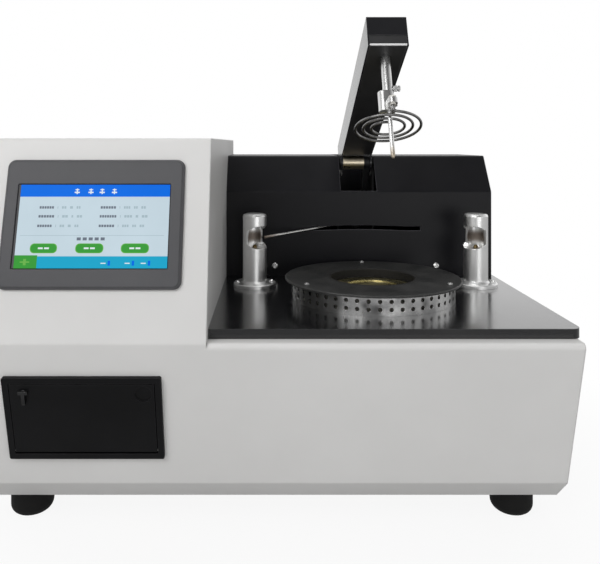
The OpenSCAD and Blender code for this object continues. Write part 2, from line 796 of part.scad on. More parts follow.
module heater_flange() {
    color("dimgray") at_cup() difference() {
        translate([0, 0, band_h]) rotate_extrude() polygon([
            [well_d / 2, -collar_h], [well_d / 2 + collar_t, -collar_h], [well_d / 2 + collar_t, 0],
            [flange_d / 2, 0], [flange_d / 2, flange_t - 0.8], [flange_d / 2 - 0.8, flange_t],
            [well_d / 2 + 0.8, flange_t], [well_d / 2, flange_t - 0.8]]);
        for (a = [90, 210, 330]) rotate(a) translate([flange_screw_r, 0, band_h - 1])
            cylinder(h = flange_t + 2, d = flange_screw_d + 0.4);
    }
}

module flange_screws() {
    color("silver") at_cup() for (a = [90, 210, 330]) rotate(a)
        translate([flange_screw_r, 0, flange_top]) dome_screw(6.5, flange_screw_d, flange_t + 6);
}

// Ignition posts

module at_post_screw(side, turn) translate([turn * post_screw_r, -side * turn * 3, 0]) children();

module post(side) {
    neck = 2;
    color("silver") placed() translate([cup_x + side * post_dx, post_y, 0]) difference() {
        rotate_extrude() polygon([
            [0, 0], [post_base_d / 2, 0], [post_base_d / 2, post_base_h - 1],
            [post_base_d / 2 - 1, post_base_h],
            [post_d / 2 + neck, post_base_h], [post_d / 2, post_base_h + neck], [post_d / 2, post_h - 3],
            [post_d / 2 - 1, post_h - 1], [post_d / 2 - 3.5, post_h], [0, post_h]]);
        rotate(side < 0 ? -notch_turn : notch_turn - 180) translate([0, 0, notch_z]) rotate([90, 0, 90])
            round_plate(post_d + 0.2, notch_h, post_d, notch_corner_r);
        translate([0, 0, notch_floor + notch_step]) cylinder(h = notch_h - 2 * notch_step, d = notch_bore_d);
        translate([0, 0, notch_floor - nozzle_sunk]) cylinder(h = 30, d = nozzle_d + 2 * fit);
        for (turn = [-1, 1]) at_post_screw(side, turn) {
            translate([0, 0, -1]) cylinder(h = post_base_h + 2, d = post_screw_d + 0.4);
            translate([0, 0, post_base_h]) cylinder(h = neck + 2, d = post_screw_head + 0.7);
        }
    }
}

module post_left() post(-1);
module post_right() post(1);

module post_screws() {
    color("dimgray") placed() for (side = [-1, 1], turn = [-1, 1])
        translate([cup_x + side * post_dx, post_y, post_base_h]) at_post_screw(side, turn)
            dome_screw(post_screw_head, post_screw_d, post_base_h + deck_t - 1);
}

module pilot_nozzles() {
    color("peru") placed() for (side = [-1, 1])
        translate([cup_x + side * post_dx, post_y, notch_floor - nozzle_sunk]) difference() {
            union() {
                cylinder(h = nozzle_sunk + 1.5, d = nozzle_d);
                translate([0, 0, nozzle_sunk + 1.5]) cylinder(h = 2.5, d1 = nozzle_d, d2 = nozzle_d / 2);
            }
            translate([0, 0, nozzle_sunk - 4]) cylinder(h = 12, d = nozzle_d / 4);
        }
}

// Igniter

module at_igniter() placed() translate([cup_x, igniter_y, 0]) children();

module igniter_motor() {
    color("gray") at_igniter() difference() {
        union() {
            cylinder(h = igniter_motor_h, d = igniter_motor_d);
            cylinder(h = 3, d = igniter_motor_d + 10);
            cylinder(h = igniter_motor_h + 3, d = 12);
        }
        translate([0, 0, igniter_motor_h - 12]) cylinder(h = 20, d = igniter_shaft_d + 2 * fit);
    }
}

module igniter_hub() {
    color("silver") at_igniter() {
        difference() {
            translate([0, 0, hub_z]) cylinder(h = hub_h, d = hub_d);
            translate([0, 0, tube_root_z]) rotate([0, 90 + tube_fall, -90 - igniter_turn])
                translate([0, 0, hub_d / 2 - 4]) cylinder(h = hub_d, d = tube_d + 2 * fit);
        }
        translate([0, 0, igniter_motor_h - 10])
            cylinder(h = hub_z - igniter_motor_h + 10 + little, d = igniter_shaft_d);
    }
}

module ignition_tube() {
    start = hub_d / 2 - 3;
    color("silver") at_igniter() translate([0, 0, tube_root_z])
        rotate([0, 90 + tube_fall, -90 - igniter_turn]) translate([0, 0, start]) difference() {
            cylinder(h = igniter_reach / cos(tube_fall) - start, d = tube_d);
            translate([0, 0, igniter_reach - start - 20]) cylinder(h = 30, d = tube_d - 1.6);
        }
}

// Lift

module guide_outline() {
    path = [for (i = [0 : slot_steps]) tail_at(i / slot_steps)];
    half = roller_d / 2 + gap + 0.05;
    difference() {
        translate([guide_y0, 0]) square([guide_y1 - guide_y0, guide_top]);
        polygon(concat(side_step(path, half), turned_back(side_step(path, -half))));
        for (k = [0, 1]) translate(tail_at(k)) circle(half);
    }
}

module guide_left() {
    x = -guide_x - guide_t;
    color("gray") placed() translate([cup_x, 0, 0]) difference() {
        union() {
            along_x(x, -guide_x) guide_outline();
            block([x - guide_foot, guide_y0, 0], [x, guide_y1, guide_t]);
        }
        rod_x(x - 1, 0, crank_axis, shaft_d + 2 * fit);
    }
}

module guide_right() {
    color("gray") placed() translate([cup_x, 0, 0]) difference() {
        union() {
            along_x(guide_x, guide_x + guide_t) guide_outline();
            block([guide_x + guide_t, guide_y0, 0], [guide_x + guide_t + guide_foot, guide_y1, guide_t]);
        }
        rod_x(0, guide_x + guide_t + 1, crank_axis, shaft_d + 6);
    }
}

module lift_motor() {
    color("dimgray") placed() translate([cup_x, 0, 0]) difference() {
        union() {
            rod_x(gearbox_x, gearbox_x + gearbox_l, crank_axis, gearbox_d);
            rod_x(gearbox_x, gearbox_x + gearbox_l + lift_motor_l, crank_axis, lift_motor_d);
        }
        rod_x(gearbox_x - 1, gearbox_x + gearbox_l - 4, crank_axis, shaft_d + 2 * fit);
    }
}

module lift_shaft() {
    color("silver") placed() translate([cup_x, 0, 0])
        rod_x(-guide_x - guide_t + 0.5, gearbox_x + gearbox_l - 5, crank_axis, shaft_d);
}

module lift_crank() {
    color("dimgray") placed() translate([cup_x, 0, 0]) difference() {
        along_x(crank_x0, crank_x1) {
            translate(crank_axis) circle(d = shaft_d + 14);
            translate(pin_raised) circle(d = pin_d + 9);
            translate(crank_axis) rotate(crank_up) translate([0, -crank_web / 2])
                square([crank_r, crank_web]);
        }
        rod_x(0, guide_x, crank_axis, shaft_d + 2 * fit);
        rod_x(0, guide_x, pin_raised, pin_d + 2 * fit);
    }
}

// Head arm

module arm_cover() {
    pin = [pin_back, -pin_drop];
    tail = [pin_back + tail_back, -pin_drop - tail_drop];
    color("black") on_arm() difference() {
        union() {
            for (x = [-arm_w / 2, arm_inner]) along_x(x, x + arm_t) {
                square([arm_l, arm_h]);
                translate(pin) circle(pin_lug_r);
                translate(tail) circle(tail_lug_r);
                polygon([[pin[0] - pin_lug_r, 1], [pin[0] - pin_lug_r, pin[1]], [pin[0], pin[1] - pin_lug_r],
                    [tail[0], tail[1] - tail_lug_r], [arm_l, tail[1]], [arm_l, 1]]);
            }
            block([-arm_w / 2, 0, arm_h - arm_t], [arm_w / 2, arm_l, arm_h]);
            block([-arm_w / 2, 0, cap_rise], [arm_w / 2, arm_t, arm_h]);
        }
        rod_x(-arm_w, arm_w, pin, pin_d + 2 * fit);
        rod_x(-arm_w, arm_w, tail, roller_d - 2 + 2 * fit);
    }
}

module arm_base() {
    color("black") on_arm() difference() {
        union() {
            block([-arm_inner, -lip_out, 0], [arm_inner, base_end, arm_t]);
            block([-arm_inner, cap_step, 0], [arm_inner, cap_step + arm_t, cap_rise - gap]);
        }
        translate([0, probe_back, -1]) cylinder(h = arm_t + 2, d = 6.4);
    }
}

module arm_pin() {
    head_t = 1.6;
    color("silver") on_arm() {
        rod_x(-arm_w / 2, arm_w / 2, [pin_back, -pin_drop], pin_d);
        for (x = [-arm_w / 2 - head_t, arm_w / 2])
            rod_x(x, x + head_t, [pin_back, -pin_drop], pin_d + 5);
    }
}

module arm_bush() {
    color("goldenrod") on_arm() difference() {
        rod_x(-arm_inner + gap, crank_x0 - gap, [pin_back, -pin_drop], bush_d);
        rod_x(-arm_w, arm_w, [pin_back, -pin_drop], pin_d + 2 * fit);
    }
}

module tail_rollers() {
    at = [pin_back + tail_back, -pin_drop - tail_drop];
    color("silver") on_arm() for (side = [-1, 1]) scale([side, 1, 1]) {
        rod_x(arm_inner - little, arm_w / 2 + little, at, roller_d - 2);
        rod_x(arm_w / 2, guide_x + guide_t - 0.4, at, roller_d);
        rod_x(arm_inner - 1.5, arm_inner, at, roller_d);
    }
}

// Probe and detection ring

module at_probe() on_arm() translate([0, probe_back, 0]) children();

// Wire path of the detection ring: its flat turns, a bend and a leg up into the holder's ear
function turn_point(k) =
    let (a = ring_start + 360 * k / ring_steps, r = ring_r - ring_pitch * k / ring_steps)
    [r * sin(a), -r * cos(a), 0];
function turn_side(k) = let (a = ring_start + 360 * k / ring_steps) [sin(a), -cos(a), 0];
leg_side = turn_side(0);
leg_run = -unit(turn_point(1) - turn_point(0));
leg_start = turn_point(0);
bend_count = 5;
wire_bend = [for (i = [bend_count : -1 : 1])
    let (a = 90 * i / bend_count)
    leg_start + wire_bend_r * (sin(a) * leg_run + (1 - cos(a)) * [0, 0, 1])];
ring_end = [leg_start[0] + wire_bend_r * leg_run[0], leg_start[1] + wire_bend_r * leg_run[1] + ring_back];
leg_top = wire_bend[0] + [0, 0, wire_leg];
wire_path = concat([leg_top], wire_bend, [for (k = [0 : ring_turns * ring_steps]) turn_point(k)]);
wire_side = concat([leg_side], [for (i = wire_bend) leg_side],
    [for (k = [0 : ring_turns * ring_steps]) turn_side(k)]);
wire_sides = 6;
function run_at(i) = unit(wire_path[min(i + 1, len(wire_path) - 1)] - wire_path[max(i - 1, 0)]);
wire_points = [for (i = [0 : len(wire_path) - 1], j = [0 : wire_sides - 1])
    let (a = 360 * j / wire_sides)
    wire_path[i] + wire_d / 2 * (cos(a) * wire_side[i] + sin(a) * cross(run_at(i), wire_side[i]))];
wire_rings = len(wire_path);
wire_faces = concat(
    [[for (j = [0 : wire_sides - 1]) wire_sides - 1 - j]],
    [[for (j = [0 : wire_sides - 1]) (wire_rings - 1) * wire_sides + j]],
    [for (i = [0 : wire_rings - 2], j = [0 : wire_sides - 1]) let (k = (j + 1) % wire_sides)
        [i * wire_sides + j, i * wire_sides + k, (i + 1) * wire_sides + k]],
    [for (i = [0 : wire_rings - 2], j = [0 : wire_sides - 1]) let (k = (j + 1) % wire_sides)
        [i * wire_sides + j, (i + 1) * wire_sides + k, (i + 1) * wire_sides + j]]);

// Least gap between turns of the wire, from points at least half a turn apart
turn_gaps = [for (i = [0 : wire_rings - 1], j = [i + ring_steps / 2 : 1 : wire_rings - 1])
    norm(wire_path[i] - wire_path[j]) - wire_d];
echo(least_gap_in_detection_ring = min(turn_gaps));

module probe_holder() {
    color("silver") at_probe() difference() {
        union() {
            for (x = [-clamp_side, 0]) translate([x, 0, -holder_l]) cylinder(h = clamp_h, d = clamp_d);
            translate([-clamp_side, -clamp_d / 2, -holder_l]) cube([clamp_side, clamp_d, clamp_h]);
            translate([0, 0, -holder_tube_l]) cylinder(h = holder_tube_l, d = holder_d);
            translate([0, 0, -little]) cylinder(h = arm_t + 4, d = 6);
            translate([0, 0, arm_t]) cylinder(h = 4, d = 11, $fn = 6);
            translate([0, 0, ear_z]) rotate(atan2(ring_end[1], ring_end[0])) {
                translate([0, -ear_w / 2, 0]) cube([norm(ring_end), ear_w, ear_t]);
                translate([norm(ring_end), 0, 0]) cylinder(h = ear_t, d = ear_w);
            }
            rod_x(0, clamp_d / 2 + 2.5, [0, -holder_tube_l - 14], 4);
        }
        translate([0, 0, -holder_l - 1]) cylinder(h = holder_l - 12, d = probe_d + 2 * fit);
        translate([0, 0, -38]) rotate([0, 90, 0]) cylinder(h = 20, d = 3 + 2 * fit);
        translate([ring_end[0], ring_end[1], ear_z - 1]) cylinder(h = ear_t + 2, d = ring_bush_d + 2 * fit);
    }
}

module ring_bush() {
    color("white") at_probe() translate([ring_end[0], ring_end[1], ear_z - 1.5]) difference() {
        union() {
            cylinder(h = ear_t + 3.5, d = ring_bush_d);
            translate([0, 0, ear_t + 1.5]) cylinder(h = 2, d = ring_bush_d + 2);
        }
        translate([0, 0, -1]) cylinder(h = ear_t + 8, d = wire_d + 2 * fit);
    }
}

module thumb_screw() {
    color("silver") at_probe() translate([0, 0, -38]) {
        rod_x(probe_d / 2 + 0.2, holder_d / 2 + 1, [0, 0], 3);
        rod_x(holder_d / 2 + gap, holder_d / 2 + 8, [0, 0], 5.5);
        for (x = [3.5, 6]) rod_x(holder_d / 2 + x, holder_d / 2 + x + 1, [0, 0], 6.5);
    }
}

module probe_rod() {
    tip = 3;
    color("white") at_probe() rotate_extrude() polygon([
        [0, -probe_reach], [probe_d * 0.3, -probe_reach + 0.4], [probe_d / 2, -probe_reach + tip],
        [probe_d / 2, -14], [0, -14]]);
}

module detection_ring() {
    color("slategray") at_probe() translate([0, ring_back, -ring_down])
        polyhedron(points = wire_points, faces = wire_faces, convexity = 8);
}

// Services inside the cabinet and on its rear panel
pan_top = case_bottom + sheet_t;

module main_board() {
    size = [160, 120];
    stand = 10;
    color("seagreen") placed() translate([tower_mid - size[0] / 2, inner_rear_y - size[1] - 86, pan_top]) {
        translate([0, 0, stand]) cube([size[0], size[1], 1.6]);
        for (x = [8, size[0] - 8], y = [8, size[1] - 8]) translate([x, y, 0])
            cylinder(h = stand + little, d = 7);
        translate([20, 20, stand + 1]) cube([40, 30, 4]);
        translate([90, 60, stand + 1]) cube([50, 40, 16]);
        translate([15, 95, stand + 1]) cube([60, 12, 9]);
        for (x = [75, 95, 115, 135]) translate([x, 25, stand + 1]) cylinder(h = 20, d = 12);
    }
}

module power_supply() {
    color("silver") placed() translate([cup_x + 45, inner_rear_y - 166, pan_top]) difference() {
        cube([105, 90, 42]);
        for (x = [12 : 10 : 92]) translate([x, 20, 40]) cube([5, 50, 4]);
    }
}

module gas_valve() {
    body = 30;
    color("goldenrod") placed() {
        block([spigot_at[0] - body / 2, inner_rear_y - 46, spigot_at[1] - body / 2],
            [spigot_at[0] + body / 2, inner_rear_y - 8, spigot_at[1] + body / 2]);
        block([spigot_at[0] - body / 2, inner_rear_y - 44, pan_top],
            [spigot_at[0] + body / 2, inner_rear_y - 41, spigot_at[1]]);
        translate([spigot_at[0], inner_rear_y - 27, spigot_at[1]]) cylinder(h = 50, d = 24);
        difference() {
            union() {
                rod_y(inner_rear_y - 10, rear_y + rear_out, spigot_at, spigot_d);
                translate([spigot_at[0], rear_y + rear_out - spigot_l, spigot_at[1]]) rotate([90, 0, 0])
                    cylinder(h = rear_out - spigot_l - gap, d = 18, $fn = 6);
            }
            rod_y(rear_y + rear_out - 20, rear_y + rear_out + 1, spigot_at, spigot_d - 3);
        }
    }
}

rotor_hub_d = 24;
fan_y = inner_rear_y - fan_d;

module fan_frame() {
    spider_t = 3;
    color("dimgray") placed() {
        difference() {
            block([fan_at[0] - fan_w / 2, fan_y, fan_at[1] - fan_w / 2],
                [fan_at[0] + fan_w / 2, inner_rear_y, fan_at[1] + fan_w / 2]);
            rod_y(fan_y - 1, inner_rear_y + 1, fan_at, fan_w - 3);
        }
        rod_y(fan_y, fan_y + spider_t, fan_at, rotor_hub_d + 2);
        for (a = [45, 135]) translate([fan_at[0], fan_y, fan_at[1]]) rotate([0, a, 0])
            translate([-fan_w / 2 + 0.5, 0, -2]) cube([fan_w - 1, spider_t, 4]);
        rod_y(fan_y, inner_rear_y - 4, fan_at, 4);
    }
}

module fan_rotor() {
    blades = 7;
    color("dimgray") placed() translate([fan_at[0], fan_y, fan_at[1]]) rotate([-90, 0, 0]) difference() {
        union() {
            translate([0, 0, 3.5]) cylinder(h = fan_d - 6, d = rotor_hub_d);
            for (i = [0 : blades - 1]) rotate(i * 360 / blades)
                translate([rotor_hub_d / 2 - 2, 0, 10.5]) rotate([35, 0, 0]) translate([0, -0.75, -7])
                    cube([fan_w / 2 - rotor_hub_d / 2 - 1.5, 1.5, 14]);
        }
        cylinder(h = fan_d + 1, d = 4 + 2 * fit);
    }
}

socket_z = -11;
rocker_z = 12.5;
rocker_w = 12.4;
rocker_axis_y = rear_y - 1;
rocker_stub_d = 3;

module power_inlet() {
    socket = [22.4, 18, 14.8];
    face_y = rear_y + 3;
    color("black") placed() translate([inlet_at[0], 0, inlet_at[1]]) {
        difference() {
            union() {
                block([-18, rear_y, -inlet_h / 2 - 4], [18, face_y, inlet_h / 2 + 4]);
                block([-inlet_w / 2 + gap, rear_y - 26, -inlet_h / 2 + gap],
                    [inlet_w / 2 - gap, rear_y + little, inlet_h / 2 - gap]);
            }
            block([-socket[0] / 2, face_y - socket[1], socket_z - socket[2] / 2],
                [socket[0] / 2, face_y + 1, socket_z + socket[2] / 2]);
            block([-rocker_w / 2 - gap, face_y - 16, rocker_z - 10.3],
                [rocker_w / 2 + gap, face_y + 1, rocker_z + 10.3]);
            rod_x(-rocker_w / 2 - 2, rocker_w / 2 + 2, [rocker_axis_y, rocker_z], rocker_stub_d + 2 * fit);
        }
        for (at = [[-7, 1.5], [0, -2.5], [7, 1.5]])
            block([at[0] - 1, face_y - socket[1] - 1, socket_z + at[1] - 2],
                [at[0] + 1, face_y - 5, socket_z + at[1] + 2]);
    }
}

module power_switch() {
    at = [inlet_at[0], rocker_axis_y, inlet_at[1] + rocker_z];
    color("black") placed() translate(at) rotate([10, 0, 0]) {
        along_x(-rocker_w / 2, rocker_w / 2)
            polygon([[-4, -6], [3.5, -9], [1.8, 0], [3.5, 9], [-4, 6]]);
        rod_x(-rocker_w / 2 - 1.5, rocker_w / 2 + 1.5, [0, 0], rocker_stub_d);
    }
}

base_pan();
front_panel();
side_left();
side_right();
tower_cover();
rear_panel();
sub_deck();
deck_plate();
rear_housing();
housing_screws();
case_screws();
feet();
display_bezel();
display_glass();
display_module();
printer_bezel();
printer_bay();
printer_door();
door_pin();
door_latch();
printer_module();
platen_roller();
paper_roll();
paper_spindle();
heater_pan();
insulation();
heating_element();
heating_plate();
heater_band();
heater_flange();
flange_screws();
post_left();
post_right();
post_screws();
pilot_nozzles();
igniter_motor();
igniter_hub();
ignition_tube();
guide_left();
guide_right();
lift_motor();
lift_shaft();
lift_crank();
arm_cover();
arm_base();
arm_pin();
arm_bush();
tail_rollers();
probe_holder();
thumb_screw();
probe_rod();
detection_ring();
ring_bush();
main_board();
power_supply();
gas_valve();
fan_frame();
fan_rotor();
power_inlet();
power_switch();
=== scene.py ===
import math
import types

import bmesh
import bpy
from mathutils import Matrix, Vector


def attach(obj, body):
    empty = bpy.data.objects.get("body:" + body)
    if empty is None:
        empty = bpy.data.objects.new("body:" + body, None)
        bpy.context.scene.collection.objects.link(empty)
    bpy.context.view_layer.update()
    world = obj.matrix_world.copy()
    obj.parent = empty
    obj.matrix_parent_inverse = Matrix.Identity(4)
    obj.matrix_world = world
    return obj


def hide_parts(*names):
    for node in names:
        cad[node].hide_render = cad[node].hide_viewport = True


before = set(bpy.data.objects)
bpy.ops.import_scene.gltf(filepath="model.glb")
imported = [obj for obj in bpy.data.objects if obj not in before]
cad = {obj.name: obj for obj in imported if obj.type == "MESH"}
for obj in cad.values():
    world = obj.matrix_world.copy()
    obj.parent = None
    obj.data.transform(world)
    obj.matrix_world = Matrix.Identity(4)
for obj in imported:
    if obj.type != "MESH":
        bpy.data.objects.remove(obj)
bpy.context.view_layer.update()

# Studio: a pale floor that fades to white far out, a white surround, one large soft lamp at the front left, a
# weaker one overhead and a low one at the front right. The camera stands level with the tower's top and looks
# straight back.
scene = bpy.context.scene
scene.view_settings.view_transform = "Standard"


def add(tree, kind, settings=None, **inputs):
    """A new node in a tree, with each input linked if it's given a socket, or set if it's given a value. An input
    goes by its name, with a low line for each space, or by n and its number."""
    made = tree.nodes.new(kind)
    for key, value in (settings or {}).items():
        setattr(made, key, value)
    for key, value in inputs.items():
        numbered = key[0] == "n" and key[1:].isdigit()
        taken = made.inputs[int(key[1:])] if numbered else made.inputs[key.replace("_", " ")]
        if isinstance(value, bpy.types.NodeSocket):
            tree.links.new(value, taken)
        else:
            taken.default_value = value
    return made


def math_node(tree, operation, a, b=0.0):
    """The result of one Math node."""
    return add(tree, "ShaderNodeMath", {"operation": operation}, n0=a, n1=b).outputs[0]


FLOOR_HALF, FLOOR_Z = 12, -0.0003
floor_mesh = bpy.data.meshes.new("studio_floor")
floor_corners = [(FLOOR_HALF * x, FLOOR_HALF * y, FLOOR_Z) for x, y in ((-1, -1), (1, -1), (1, 1), (-1, 1))]
floor_mesh.from_pydata(floor_corners, [], [(0, 1, 2, 3)])
floor = bpy.data.objects.new("studio_floor", floor_mesh)
scene.collection.objects.link(floor)
floor_paint = bpy.data.materials.new("studio_floor")
floor_paint.use_nodes = True
tree = floor_paint.node_tree
tree.nodes.clear()
paths = add(tree, "ShaderNodeLightPath")
direct = math_node(tree, "MAXIMUM", paths.outputs["Is Camera Ray"], paths.outputs["Is Transmission Ray"])
floor_place = add(tree, "ShaderNodeTexCoord").outputs["Object"]
distance = add(tree, "ShaderNodeVectorMath", {"operation": "LENGTH"}, n0=floor_place)
far = add(tree, "ShaderNodeMapRange", Value=distance.outputs["Value"], From_Min=0.3, From_Max=0.62,
          To_Min=0.91, To_Max=1.0)
paper = add(tree, "ShaderNodeBsdfDiffuse", Color=(0.7, 0.7, 0.7, 1))
white = add(tree, "ShaderNodeEmission", Color=(1, 1, 1, 1), Strength=1.0)
grey = add(tree, "ShaderNodeEmission", Color=(1, 1, 1, 1), Strength=0.4)
seen = add(tree, "ShaderNodeMixShader", n0=math_node(tree, "MULTIPLY", direct, far.outputs[0]), n1=paper.outputs[0],
           n2=white.outputs[0])
both = add(tree, "ShaderNodeMixShader", n0=paths.outputs["Is Glossy Ray"], n1=seen.outputs[0], n2=grey.outputs[0])
add(tree, "ShaderNodeOutputMaterial", Surface=both.outputs[0])
floor_mesh.materials.append(floor_paint)

world = bpy.data.worlds.new("studio_surround")
scene.world = world
world.use_nodes = True
tree = world.node_tree
tree.nodes.clear()
paths = add(tree, "ShaderNodeLightPath")
towards = add(tree, "ShaderNodeSeparateXYZ", Vector=add(tree, "ShaderNodeTexCoord").outputs["Generated"])
ahead = add(tree, "ShaderNodeMapRange", Value=towards.outputs["Y"], From_Min=-0.3, From_Max=0.25,
            To_Min=0.38, To_Max=1.0)
beside = add(tree, "ShaderNodeMapRange", Value=math_node(tree, "ABSOLUTE", towards.outputs["X"]),
             From_Min=0.3, From_Max=0.6, To_Min=0.0, To_Max=0.85)
above = add(tree, "ShaderNodeMapRange", Value=towards.outputs["Z"], From_Min=0.35, From_Max=0.75,
            To_Min=1.0, To_Max=0.3)
bright = math_node(tree, "MULTIPLY", math_node(tree, "MAXIMUM", ahead.outputs[0], beside.outputs[0]), above.outputs[0])
mirrored = math_node(tree, "MAXIMUM", paths.outputs["Is Glossy Ray"], paths.outputs["Is Transmission Ray"])
plain = add(tree, "ShaderNodeBackground", Color=(1, 1, 1, 1), Strength=0.34)
room = add(tree, "ShaderNodeBackground", Color=(1, 1, 1, 1), Strength=bright)
white = add(tree, "ShaderNodeBackground", Color=(1, 1, 1, 1), Strength=1.0)
round_about = add(tree, "ShaderNodeMixShader", n0=mirrored, n1=plain.outputs[0], n2=room.outputs[0])
surround = add(tree, "ShaderNodeMixShader", n0=paths.outputs["Is Camera Ray"], n1=round_about.outputs[0],
               n2=white.outputs[0])
add(tree, "ShaderNodeOutputWorld", Surface=surround.outputs[0])

for name, place, target, size, power in (
        ("soft_lamp_front", (-1.05, -1.75, 1.65), (0.0, 0.0, 0.2), (1.5, 1.1), 25.5),
        ("soft_lamp_top", (0.25, 0.25, 2.0), (0.05, 0.0, 0.3), (1.1, 1.0), 8.0),
        ("soft_lamp_low", (0.8, -2.0, 0.35), (0.2, 0.0, 0.1), (1.2, 0.6), 4.5)):
    lamp = bpy.data.lights.new(name, "AREA")
    lamp.shape = "RECTANGLE"
    lamp.size, lamp.size_y = size
    lamp.energy = power
    lamp_object = bpy.data.objects.new(name, lamp)
    lamp_object.location = place
    lamp_object.rotation_euler = (Vector(target) - Vector(place)).to_track_quat("-Z", "Y").to_euler()
    scene.collection.objects.link(lamp_object)

camera = bpy.data.cameras.new("camera")
camera.sensor_fit = "HORIZONTAL"
camera.sensor_width = 36.0
camera.lens = 39.9
camera.shift_x = 0.0467
camera.shift_y = -0.23
camera_object = bpy.data.objects.new("camera", camera)
camera_object.location = (0.0, -0.8825, 0.408)
camera_object.rotation_euler = (math.radians(90), 0, 0)
scene.collection.objects.link(camera_object)
scene.camera = camera_object

# Cabinet panels: folded steel sheet, powder coated off-white in a satin finish with a fine orange peel.
# The front is one sheet that runs from the tower's top round the fold and the sill to the underside.


def socket(tree, name, kind, default=None, out=False):
    """A named input or output of a node group, given back as its identifier."""
    made = tree.interface.new_socket(name, in_out="OUTPUT" if out else "INPUT", socket_type=kind)
    if default is not None:
        made.default_value = default
    return made.identifier


# Shader group: fine grain and slow clouds over a surface, both from 0 to 1
grain_group = bpy.data.node_groups.new("surface_grain", "ShaderNodeTree")
socket(grain_group, "Grain", "NodeSocketFloat", 700.0)
socket(grain_group, "Cloud", "NodeSocketFloat", 6.0)
socket(grain_group, "Stretch", "NodeSocketVector", (1, 1, 1))
socket(grain_group, "Fine", "NodeSocketFloat", out=True)
socket(grain_group, "Clouds", "NodeSocketFloat", out=True)
given = add(grain_group, "NodeGroupInput")
place = add(grain_group, "ShaderNodeTexCoord").outputs["Object"]
drawn = add(grain_group, "ShaderNodeVectorMath", {"operation": "MULTIPLY"}, n0=place, n1=given.outputs["Stretch"])
fine = add(grain_group, "ShaderNodeTexNoise", Vector=drawn.outputs[0], Scale=given.outputs["Grain"], Detail=2.0)
slow = add(grain_group, "ShaderNodeTexNoise", Vector=place, Scale=given.outputs["Cloud"], Detail=4.0, Roughness=0.6)
spread = add(grain_group, "ShaderNodeMapRange", Value=slow.outputs[0], From_Min=0.3, From_Max=0.7)
add(grain_group, "NodeGroupOutput", Fine=fine.outputs[0], Clouds=spread.outputs[0])

# Shader group: edges that catch the light as if slightly rounded, and a mask of them, along which a finish paints a
# colour, mostly a painted highlight, together with wear
edge_group = bpy.data.node_groups.new("soft_edges", "ShaderNodeTree")
socket(edge_group, "Radius", "NodeSocketFloat", 0.001)
socket(edge_group, "Normal", "NodeSocketVector", out=True)
socket(edge_group, "Edge", "NodeSocketFloat", out=True)
given = add(edge_group, "NodeGroupInput")
rounded = add(edge_group, "ShaderNodeBevel", {"samples": 6}, Radius=given.outputs["Radius"])
shape = add(edge_group, "ShaderNodeNewGeometry")
agree = add(edge_group, "ShaderNodeVectorMath", {"operation": "DOT_PRODUCT"}, n0=rounded.outputs[0],
            n1=shape.outputs["Normal"])
# The mask of edges, where a finish paints its edge highlight together with wear
edge_shading_and_wear = add(edge_group, "ShaderNodeMapRange", Value=agree.outputs["Value"], From_Min=0.999, From_Max=0.93)
add(edge_group, "NodeGroupOutput", Normal=rounded.outputs[0], Edge=edge_shading_and_wear.outputs[0])


def mixed(tree, factor, a, b):
    """One colour or another, by a factor from 0 to 1."""
    made = add(tree, "ShaderNodeMix", {"data_type": "RGBA"}, n0=factor)
    for index, value in ((6, a), (7, b)):
        if isinstance(value, bpy.types.NodeSocket):
            tree.links.new(value, made.inputs[index])
        else:
            made.inputs[index].default_value = (*value[:3], 1)
    return made.outputs[2]


# Shader group: a mask that is 1 within one distance of a place and 0 beyond another, in metres. Where the first
# distance is the longer one, the mask is turned round: 0 near the place and 1 beyond.
near_group = bpy.data.node_groups.new("near_place", "ShaderNodeTree")
socket(near_group, "Centre", "NodeSocketVector", (0, 0, 0))
socket(near_group, "Inner", "NodeSocketFloat", 0.005)
socket(near_group, "Outer", "NodeSocketFloat", 0.02)
socket(near_group, "Mask", "NodeSocketFloat", out=True)
given = add(near_group, "NodeGroupInput")
place = add(near_group, "ShaderNodeTexCoord").outputs["Object"]
away = add(near_group, "ShaderNodeVectorMath", {"operation": "DISTANCE"}, n0=place, n1=given.outputs["Centre"])
rough_edge = add(near_group, "ShaderNodeTexNoise", Scale=160.0, Detail=3.0)
strayed = add(near_group, "ShaderNodeMath", {"operation": "MULTIPLY_ADD"}, n0=rough_edge.outputs[0], n1=0.004,
              n2=away.outputs["Value"])
shade = add(near_group, "ShaderNodeMapRange", {"interpolation_type": "SMOOTHSTEP"}, Value=strayed.outputs[0],
            From_Min=given.outputs["Inner"], From_Max=given.outputs["Outer"], To_Min=1.0, To_Max=0.0)
add(near_group, "NodeGroupOutput", Mask=shade.outputs[0])


COAT_ROUGHNESS, EDGE_SHADING_AND_WEAR, FINE_SHARE = 0.06, 0.7, 0.6
SPOT_COVER, SPOT_DULLS = 0.9, 0.25


